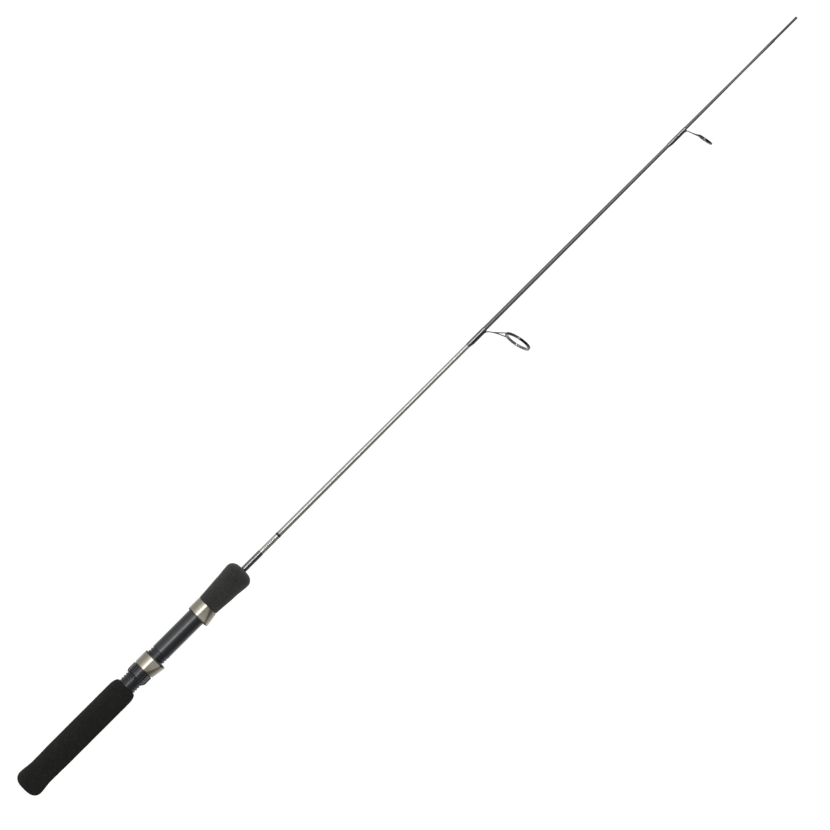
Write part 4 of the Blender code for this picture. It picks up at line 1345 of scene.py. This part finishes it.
@dataclass
class Hood:
    """A hood for one end of the reel's foot: a drawn metal shell over a moulded lining with a pocket.

    Its section is a circle drawn in towards the flat on the foot's side. A cone rounds off the flat's rear.
    """

    name: str
    body: Body
    forward: int
    recess: float = 0.0
    segments: int = 360
    half_width: float = 10.95
    foot_half_width: float = 8.9
    back_height: float = 11.2
    mouth_height: float = 12.6
    corner: float = 2.6
    cone_back: float = 11.1
    cone_mouth: float = 13.9
    crease: float = 0.13
    wall: float = 0.5
    fit: float = 0.05
    edge: float = 0.16
    inner_lip: float = 0.1
    bevel_share: float = 0.3
    rim: float = 1.4
    rim_inset: float = 0.3
    rim_round: float = 0.3
    bore: float = 9.3
    recess_radius: float = 10.1
    pocket_depth: float = 10.0
    pocket_mouth: Point = (7.2, 11.5)
    pocket_back: Point = (4.8, 10.1)

    def build(self) -> None:
        """Makes the shell and the lining."""
        shell, lining = f"{self.name}_shell", f"{self.name}_liner"
        low, high = span(shell)
        back = low if self.forward > 0 else high
        length = high - low
        loops = self.placed(self.shell_rows(length), back)
        made = skin(f"{self.name}_plate", loops, self.segments, closed=True)
        deliver(made, self.body, HOOD_PLATE, shell)
        loops = self.placed(self.lining_rows(length), back)
        made = skin(f"{self.name}_lining", loops, self.segments, closed=True)
        deliver(made, self.body, LINER_NYLON, lining)

    def placed(self, rows: Sequence[tuple[float, Radii]], back: float) -> list[Loop]:
        """Loops for rows of distance from the hood's back and radius."""
        return [Loop(back + self.forward * distance, radius) for distance, radius in rows]

    def outline(self, height: float, half: float) -> np.ndarray:
        """The hood's section without the cone.

        Args:
            height: how far the foot's side stands off the axis.
            half: the radius of the round side.

        Returns:
            The radius at each angle, from +Y round to +Z.
        """
        drop = self.half_width - half
        foot_half, corner = self.foot_half_width - drop, max(self.corner - drop, 0.5)
        draft = math.atan2(half - foot_half, height)
        side = np.linspace(0, math.pi / 2 + draft, 80)
        arc = np.linspace(draft, math.pi / 2, 24)
        points = list(zip(half * np.cos(side), half * np.sin(side)))
        centre = (-(height - corner), foot_half - corner)
        points += list(zip(centre[0] - corner * np.sin(arc), centre[1] + corner * np.cos(arc)))
        points.append((-height, 0.0))
        fine = np.array(refined(points, 0.1))
        angles = np.arange(self.segments) * TAU / self.segments
        folded = np.minimum(angles, TAU - angles)
        return np.interp(folded, np.arctan2(fine[:, 1], fine[:, 0]), np.hypot(fine[:, 0], fine[:, 1]))

    def envelope(self, distance: float, length: float, inset: float) -> np.ndarray:
        """The outside at a distance from the back, less an inset, with a soft crease at the cone."""
        share = min(distance / length, 1.0)
        height = self.back_height + (self.mouth_height - self.back_height) * share - inset
        cone = self.cone_back + (self.cone_mouth - self.cone_back) * distance / length - inset
        body = self.outline(height, self.half_width - inset)
        return -self.crease * np.logaddexp(-body / self.crease, -cone / self.crease)

    def shell_rows(self, length: float) -> list[tuple[float, Radii]]:
        """The shell's outside and inside, as distances from its back and radii."""
        outer = [(d, self.envelope(d, length, 0.0)) for d in np.linspace(self.edge, length - self.edge, 70)]
        lip, bevel = self.inner_lip, self.bevel_share * self.edge
        inner = [(d, self.envelope(d, length, self.wall)) for d in np.linspace(length - lip, lip, 16)]
        return [
            *outer,
            (length - bevel, self.envelope(length, length, bevel)),
            (length, self.envelope(length, length, self.edge)),
            (length, self.envelope(length, length, self.wall - lip)),
            *inner,
            (0.0, self.envelope(0, length, self.wall - lip)),
            (0.0, self.envelope(0, length, self.edge)),
            (bevel, self.envelope(0, length, bevel)),
        ]

    def hollow(self, share: float) -> np.ndarray:
        """The lining's inside where the pocket is cut, from 0 at its back to 1 at its mouth."""
        angles = np.arange(self.segments) * TAU / self.segments
        facing, sideways = np.maximum(-np.cos(angles), 0.01), np.maximum(np.abs(np.sin(angles)), 0.01)
        half, height = (b + (m - b) * share for b, m in zip(self.pocket_back, self.pocket_mouth))
        pocket = np.where(np.cos(angles) < 0, np.minimum(height / facing, half / sideways), 0.0)
        return np.maximum(self.bore, pocket)

    def lining_rows(self, length: float) -> list[tuple[float, Radii]]:
        """The lining's outside, rim and inside, as distances from its back and radii."""
        inset, end, round_off = self.wall + self.fit, length + self.rim, self.rim_round
        rows = [(d, self.envelope(d, length, inset)) for d in np.linspace(0.2, length + self.fit, 24)]
        rim = np.linspace(length + self.fit, end - round_off, 5)
        rows += [(d, self.envelope(length, length, self.rim_inset)) for d in rim]
        for number in range(1, 5):
            turn = math.pi / 2 * number / 4
            inset_here = self.rim_inset + round_off * (1 - math.cos(turn))
            place = end - round_off + round_off * math.sin(turn)
            rows.append((place, self.envelope(length, length, inset_here)))
        back = end - self.pocket_depth
        rows += [(end, self.hollow(1.0) + self.inner_lip), (end - self.inner_lip, self.hollow(1.0))]
        rows += [(d, self.hollow((d - back) / self.pocket_depth)) for d in np.linspace(end - 0.5, back, 14)]
        rows += [(back - 0.01, self.bore)]
        if self.recess:
            step = self.recess_radius
            rows += [(self.recess, self.bore), (self.recess, step), (0.0, step)]
        else:
            rows += [(self.inner_lip, self.bore), (0.0, self.bore + self.inner_lip)]
        return rows + [(0.0, self.envelope(0, length, inset + 0.2))]


# ---------------------------------------------------------------- guides


@dataclass
class Ring:
    """One of a guide's rings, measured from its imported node: its frame and its sizes in millimetres."""

    place: Matrix
    outer: float
    inner: float
    depth: float

    @staticmethod
    def measured(node: str) -> "Ring":
        """Measures a ring.

        Args:
            node: the ring's node.

        Returns:
            The ring, with +X along its axis and -Y pointing away from the rod.
        """
        points = np.array([v.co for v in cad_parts[node].data.vertices])
        points = np.unique(np.round(points, 7), axis=0)
        centre = (points.min(0) + points.max(0)) / 2
        normal = Vector(np.linalg.svd(points - points.mean(0), full_matrices=False)[2][2])
        normal *= math.copysign(1.0, normal.x)
        away = normal.cross(Vector((0.0, 0.0, 1.0))).normalized()
        away *= -math.copysign(1.0, away.y)
        axes = Matrix((normal, -away, normal.cross(-away))).transposed()
        local = (points - centre) @ np.array(axes)
        radii = np.hypot(local[:, 1], local[:, 2]) / MM
        place = Matrix.Translation(Vector(centre)) @ axes.to_4x4()
        return Ring(place, float(radii.max()), float(radii.min()), float(np.ptp(local[:, 0]) / MM))


@dataclass
class Guide:
    """A line guide: a wire frame with a hoop, a bush and a ceramic ring, its foot bound to the blank."""

    name: str
    hoop_radius: float
    hoop_depth: float
    hoop_width: float
    wrap_length: float
    wire_radius: float
    foot_half: Point
    voxel: float
    segments: int = 144
    ring_flat: float = 0.55
    bush_edge: float = 0.12
    foot_clearance: float = 0.04
    foot_inset: float = 1.5
    foot_past: float = 0.6
    foot_points: int = 32
    leg_angle: float = 32.0
    leg_spread: float = 1.05
    leg_bends: tuple[Corner, ...] = ((-1.6, 0.0, 0.75), (-0.6, 0.05, 0.75), (0.9, 1.0, 0.8))
    knee_share: float = 0.385
    wire_step: float = 0.3
    ridge_share: float = 1.45
    gap: float = 0.02
    thread_pitch: float = 0.28
    thread_inset: Point = (0.4, 0.5)
    thread_thickness: float = 0.16
    epoxy_over_thread: float = 0.14
    epoxy_lip: float = 0.03
    epoxy_shoulder: float = 0.9
    epoxy_tail: float = 2.4
    ramp: Point = (0.8, 4.5)

    def build(self, shop: Workshop, blank: Blank) -> None:
        """Makes the guide and its winding.

        Args:
            shop: the trees for its wire and its winding.
            blank: the blank that it is bound to.
        """
        self.start = span(f"{self.name}_epoxy")[0]
        self.end = self.start + self.wrap_length
        self.level = blank.radius(self.start) + self.foot_clearance + self.foot_half[1]
        ring = Ring.measured(f"{self.name}_insert")
        self.build_rings(ring)
        self.build_frame(shop, blank, ring)
        self.build_winding(shop, blank)

    def band(self, name: str, ring: Ring, corners: Sequence[Corner]) -> bpy.types.Object:
        """A ring turned about the guide's own axis, from its rounded outline."""
        outline = rounded([*corners, corners[0]], 6)
        loops = [Loop(x, radius) for x, radius in outline[:-1]]
        return skin(name, loops, self.segments, closed=True, place=ring.place)

    def build_rings(self, ring: Ring) -> None:
        """Makes the bush and the ceramic ring, whose inside is a smooth half round."""
        half, width = ring.depth / 2, ring.outer - ring.inner
        flat = half * self.ring_flat
        corners = [
            (0.0, ring.outer, 0.0),
            (half, ring.outer, 0.2),
            (half, ring.inner + 0.1, width * 0.7),
            (flat, ring.inner, width * 0.5),
            (-flat, ring.inner, width * 0.5),
            (-half, ring.inner + 0.1, width * 0.7),
            (-half, ring.outer, 0.2),
        ]
        ceramic = self.band(f"{self.name}_ceramic_ring", ring, corners)
        deliver(ceramic, Body.ROD, RING_CERAMIC, f"{self.name}_insert")
        bush = Ring.measured(f"{self.name}_cushion")
        half, edge = bush.depth / 2, self.bush_edge
        corners = [
            (0.0, bush.outer, 0.0),
            (half, bush.outer, edge),
            (half, bush.inner, edge),
            (-half, bush.inner, edge),
            (-half, bush.outer, edge),
        ]
        deliver(self.band(f"{self.name}_bush", bush, corners), Body.ROD, BUSH_NYLON, f"{self.name}_cushion")

    def build_frame(self, shop: Workshop, blank: Blank, ring: Ring) -> None:
        """Makes the hoop, the two legs and the foot, brazed into one.

        Args:
            shop: the tree for the legs.
            blank: the blank under the foot.
            ring: the guide's ring.
        """
        half, inner = self.hoop_depth / 2, self.hoop_radius - self.hoop_width
        corners = [
            (0.0, self.hoop_radius, 0.0),
            (half, self.hoop_radius, 0.3),
            (half, inner, 0.2),
            (-half, inner, 0.2),
            (-half, self.hoop_radius, 0.3),
        ]
        parts = [self.band(f"{self.name}_hoop", ring, corners), self.foot()]
        parts += [self.leg(shop, blank, ring, side) for side in (-1, 1)]
        frame_piece = brazed(f"{self.name}_wire_frame", parts, self.voxel)
        deliver(frame_piece, Body.ROD, GUIDE_STEEL, f"{self.name}_frame")

    def foot(self) -> bpy.types.Object:
        """The flattened foot under the winding, thinner towards the butt."""
        first, last = self.start + self.foot_inset, self.end + self.foot_past
        angles = np.arange(self.foot_points) * TAU / self.foot_points
        wide, high = self.foot_half
        loops = []
        for share in np.linspace(0, 1, 24):
            ramp = math.sin(math.pi / 2 * min(share * 4, 1))
            scale = 0.35 + 0.65 * ramp * (0.75 + 0.25 * share)
            radii = 1 / np.hypot(np.cos(angles) / (high * scale), np.sin(angles) / (wide * scale))
            loops.append(Loop(first + (last - first) * share, radii))
        place = Matrix.Translation(Vector((0.0, -self.level * MM, 0.0)))
        return skin(f"{self.name}_foot", loops, self.foot_points, closed=False, place=place)

    def leg(self, shop: Workshop, blank: Blank, ring: Ring, side: int) -> bpy.types.Object:
        """One wire leg, from the foot to the hoop.

        Args:
            shop: the tree for the wire.
            blank: the blank under the foot.
            ring: the guide's ring.
            side: -1 for the leg at -Z and 1 for the one at +Z.

        Returns:
            The leg.
        """
        angle, reach = math.radians(side * self.leg_angle), (self.hoop_radius - self.hoop_width / 2) * MM
        landing = ring.place @ Vector((0.0, math.cos(angle) * reach, math.sin(angle) * reach)) / MM
        lowest = ring.place @ Vector((0.0, self.hoop_radius * MM, 0.0)) / MM
        foot_end, spread = self.end + self.foot_past, side * self.wire_radius * self.leg_spread
        low = blank.radius(self.start) + self.wire_radius + self.foot_clearance
        knee = Vector((foot_end, -self.level, 0.0))
        knee += Vector((lowest.x - foot_end, lowest.y + self.level, 0.0)) * self.knee_share
        points = [(foot_end + past, -low - rise, spread * share) for past, rise, share in self.leg_bends]
        points += [(knee.x, knee.y, spread), tuple(landing)]
        curve = bpy.data.curves.new(f"{self.name}_leg", "CURVE")
        curve.dimensions = "3D"
        curve.resolution_u = 24
        spline = curve.splines.new("BEZIER")
        spline.bezier_points.add(len(points) - 1)
        for knot, point in zip(spline.bezier_points, points):
            knot.co = Vector(point) * MM
            knot.handle_left_type = knot.handle_right_type = "AUTO"
        path = bpy.data.objects.new(f"{self.name}_leg", curve)
        bpy.context.scene.collection.objects.link(path)
        sizes = {"Radius": self.wire_radius * MM, "Spacing": self.wire_step * MM}
        return shop.wire.shape(path, GUIDE_STEEL, sizes)

    def section(self, blank: Blank, x: float, lift: float, share: float) -> np.ndarray:
        """The outside of something wound tight over the blank and the foot.

        It is the hull of two circles, one for the blank and one for the foot, so it runs straight from one to
        the other.

        Args:
            blank: the blank.
            x: the place along the rod.
            lift: how far it stands off them.
            share: how much of the foot there is, from 0 to 1.

        Returns:
            The radius at each angle, from +Y round to +Z.
        """
        round_blank = blank.radius(x) + self.gap + lift
        over_foot = self.level + self.foot_half[1] + self.gap + lift
        round_foot = self.foot_half[0] * self.ridge_share + lift
        over_foot = round_blank + max(over_foot - round_blank, 0.0) * share
        middle = max(over_foot - round_foot, 0.0)
        turns = np.arange(360) * TAU / 360
        support = np.maximum(round_blank, round_foot + middle * -np.cos(turns))
        angles = np.arange(self.segments) * TAU / self.segments
        facing = np.cos(angles[:, None] - turns[None, :])
        reach = np.where(facing > 0.05, support[None, :] / np.maximum(facing, 0.05), np.inf)
        return reach.min(axis=1)

    def build_winding(self, shop: Workshop, blank: Blank) -> None:
        """Makes the thread that binds the foot and the clear resin over it.

        Args:
            shop: the tree that cuts the thread's turns.
            blank: the blank.
        """
        first, last = self.start + self.thread_inset[0], self.end - self.thread_inset[1]
        loops = self.winding_loops(blank, first, last)
        winding = skin(f"{self.name}_winding", loops, self.segments, closed=True)
        winding = shop.wind(winding, THREAD_NYLON, self.thread_pitch)
        deliver(winding, Body.ROD, THREAD_NYLON, f"{self.name}_thread_wrap")
        tail = self.end + self.epoxy_tail
        loops = self.resin_loops(blank, first, last, tail)
        coat = skin(f"{self.name}_resin", loops, self.segments, closed=True)
        finish = coated_thread(self.name, first, last, self.start, tail, self.thread_pitch)
        deliver(coat, Body.ROD, finish, f"{self.name}_epoxy")

    def winding_loops(self, blank: Blank, first: float, last: float) -> list[Loop]:
        """The thread's outside and inside, between its two ends."""
        count = round((last - first) / self.thread_pitch * 6)
        loops = []
        for x in np.linspace(first, last, count):
            loops.append(Loop(x, self.section(blank, x, self.thread_thickness, self.foot_share(x)), 1.0))
        loops[0].worked = loops[-1].worked = 0.0
        for x in np.linspace(last, first, 40):
            loops.append(Loop(x, self.section(blank, x, 0.0, self.foot_share(x))))
        return loops

    def resin_loops(self, blank: Blank, first: float, last: float, tail: float) -> list[Loop]:
        """The resin's outside, up to the end of its tail, and its inside, which clears the thread."""
        full, loops = self.thread_thickness + self.epoxy_over_thread, []
        for x in np.linspace(self.start, tail, 120):
            near_end = max(min(x - self.start, tail - x), 0.0)
            lift = self.epoxy_lip + full * math.sqrt(min(near_end / self.epoxy_shoulder, 1.0))
            loops.append(Loop(x, self.section(blank, x, lift, self.foot_share(x) * self.tail_share(x))))
        for x in np.linspace(tail - 0.05, self.start + 0.05, 60):
            lift = self.thread_thickness + 0.01 if first < x < last else 0.0
            loops.append(Loop(x, self.section(blank, x, lift, self.foot_share(x) * self.tail_share(x))))
        return loops

    def foot_share(self, x: float) -> float:
        """How much of the foot lies under a place: none at the butt end, and all of it after its ramp."""
        share = np.clip((x - self.start - self.ramp[0]) / self.ramp[1], 0, 1)
        return float(share * share * (3 - 2 * share))

    def tail_share(self, x: float) -> float:
        """How far the resin still stands over the foot past the thread's end."""
        share = np.clip((self.end + self.epoxy_tail - x) / self.epoxy_tail, 0, 1)
        return float(share * share * (3 - 2 * share))


def brazed(name: str, parts: Sequence[bpy.types.Object], voxel: float) -> bpy.types.Object:
    """Melts parts into one closed body with small fillets where they meet.

    Args:
        name: the body's name.
        parts: the parts, which are used up.
        voxel: the fineness in millimetres.

    Returns:
        The body.
    """
    joined = bmesh.new()
    for part in parts:
        joined.from_mesh(part.data)
    mesh = bpy.data.meshes.new(name)
    joined.to_mesh(mesh)
    joined.free()
    for part in parts:
        bpy.data.objects.remove(part)
    obj = bpy.data.objects.new(name, mesh)
    bpy.context.scene.collection.objects.link(obj)
    remesh = obj.modifiers.new("braze", "REMESH")
    remesh.mode = "VOXEL"
    remesh.voxel_size = voxel * MM
    smooth = obj.modifiers.new("polish", "SMOOTH")
    smooth.factor = 0.5
    smooth.iterations = 4
    bpy.context.view_layer.update()
    graph = bpy.context.evaluated_depsgraph_get()
    melted = bpy.data.meshes.new_from_object(obj.evaluated_get(graph))
    bpy.data.objects.remove(obj)
    return finished(name, melted, sharp=180.0)


# ---------------------------------------------------------------- studio


@dataclass
class Softbox:
    """A large soft light.

    lean is the angle from straight up towards +Y at which it hangs, and radiance is how bright it looks.
    """

    name: str
    lean: float
    distance: float
    length: float
    width: float
    radiance: float

    def build(self, target: Vector) -> None:
        """Hangs the light so that it faces the target."""
        light = bpy.data.lights.new(self.name, "AREA")
        light.shape = "RECTANGLE"
        light.size, light.size_y = self.length, self.width
        light.energy = self.radiance * math.pi * self.length * self.width
        obj = bpy.data.objects.new(self.name, light)
        turn = Matrix.Rotation(math.radians(-self.lean), 4, "X")
        obj.matrix_world = Matrix.Translation(target) @ turn @ Matrix.Translation((0.0, 0.0, self.distance))
        obj.visible_camera = False
        bpy.context.scene.collection.objects.link(obj)


@dataclass
class Studio:
    """The camera, the floor and the lights."""

    lens: float = 300.0
    sensor: float = 36.0
    clip: Point = (0.05, 60.0)
    view_width: float = 0.7723
    target: tuple[float, float, float] = (0.5034, -0.0110, 0.0)
    slant: float = 44.957
    roll: float = 8.0
    floor_drop: float = 0.8
    floor_size: float = 30.0
    floor_glow: float = 0.32
    ambient: float = 0.16
    softboxes: tuple[Softbox, ...] = (
        Softbox("key_strip", 4.0, 2.6, 3.4, 0.5, 12.0),
        Softbox("main_softbox", 31.0, 2.6, 3.4, 1.75, 1.2),
        Softbox("side_softbox", 73.0, 2.6, 3.4, 1.9, 0.6),
    )

    def build(self) -> None:
        """Makes the camera, the floor, the lights and the world."""
        self.build_camera()
        self.build_floor()
        for softbox in self.softboxes:
            softbox.build(Vector(self.target))
        self.build_world()
        bpy.context.scene.view_settings.view_transform = "Standard"

    def build_camera(self) -> None:
        """Makes the camera, which looks down on the rod with the tip towards the picture's upper right."""
        camera = bpy.data.cameras.new("camera")
        camera.lens, camera.sensor_width = self.lens, self.sensor
        camera.clip_start, camera.clip_end = self.clip
        obj = bpy.data.objects.new("camera", camera)
        bpy.context.scene.collection.objects.link(obj)
        distance = self.view_width * self.lens / self.sensor
        turn = Matrix.Rotation(math.radians(self.roll), 4, "X")
        turn = turn @ Matrix.Rotation(math.radians(-self.slant), 4, "Z")
        obj.matrix_world = Matrix.Translation(self.target) @ turn @ Matrix.Translation((0.0, 0.0, distance))
        bpy.context.scene.camera = obj

    def build_floor(self) -> None:
        """Makes the pale floor."""
        height = cad_box[0].z - self.floor_drop
        half = self.floor_size / 2
        mesh = bpy.data.meshes.new("floor")
        corners = [(-half, -half, height), (half, -half, height), (half, half, height), (-half, half, height)]
        mesh.from_pydata(corners, [], [(0, 1, 2, 3)])
        floor = bpy.data.objects.new("floor", mesh)
        bpy.context.scene.collection.objects.link(floor)
        paper = FLOOR_PAPER.material()
        shader = next(node for node in paper.node_tree.nodes if node.type == "BSDF_PRINCIPLED")
        shader.inputs["Emission Color"].default_value = linear("FFFFFF")
        shader.inputs["Emission Strength"].default_value = self.floor_glow
        mesh.materials.append(paper)

    def build_world(self) -> None:
        """Makes the room: pale to the eye, and dim in reflections, so that the lights shape the gloss."""
        world = bpy.data.worlds.new("studio")
        world.use_nodes = True
        tree = world.node_tree
        tree.nodes.clear()
        seen = add_node(tree, "ShaderNodeLightPath").outputs["Is Camera Ray"]
        sides = {"Factor": seen, 2: self.ambient, 3: 1.0}
        strength = add_node(tree, "ShaderNodeMix", sides, data_type="FLOAT").outputs[0]
        shown = {"Color": linear("F6F7F8"), "Strength": strength}
        light = add_node(tree, "ShaderNodeBackground", shown).outputs[0]
        add_node(tree, "ShaderNodeOutputWorld", {"Surface": light})
        bpy.context.scene.world = world


# ---------------------------------------------------------------- the whole


GUIDES = (
    Guide("guide_1", 13.5, 2.3, 0.85, 20.4, 0.525, (0.95, 0.24), 0.13),
    Guide("guide_2", 7.75, 2.1, 0.7, 21.5, 0.45, (0.75, 0.2), 0.1),
)
HOODS = (
    Hood("sliding_hood", Body.HOOD, 1, recess=2.1),
    Hood("fixed_hood", Body.ROD, -1),
)


def main() -> None:
    """Builds the studio and the rod."""
    logging.basicConfig(level=logging.INFO, format="%(name)s: %(message)s")
    Studio().build()
    shop = Workshop()
    blank = Blank()
    blank.build(shop)
    RearGrip().build(shop)
    ForeGrip().build(shop, blank)
    Barrel().build(shop)
    LockNut().build(shop)
    for hood in HOODS:
        hood.build()
    for guide in GUIDES:
        guide.build(shop, blank)


if __name__ == "__main__":
    main()
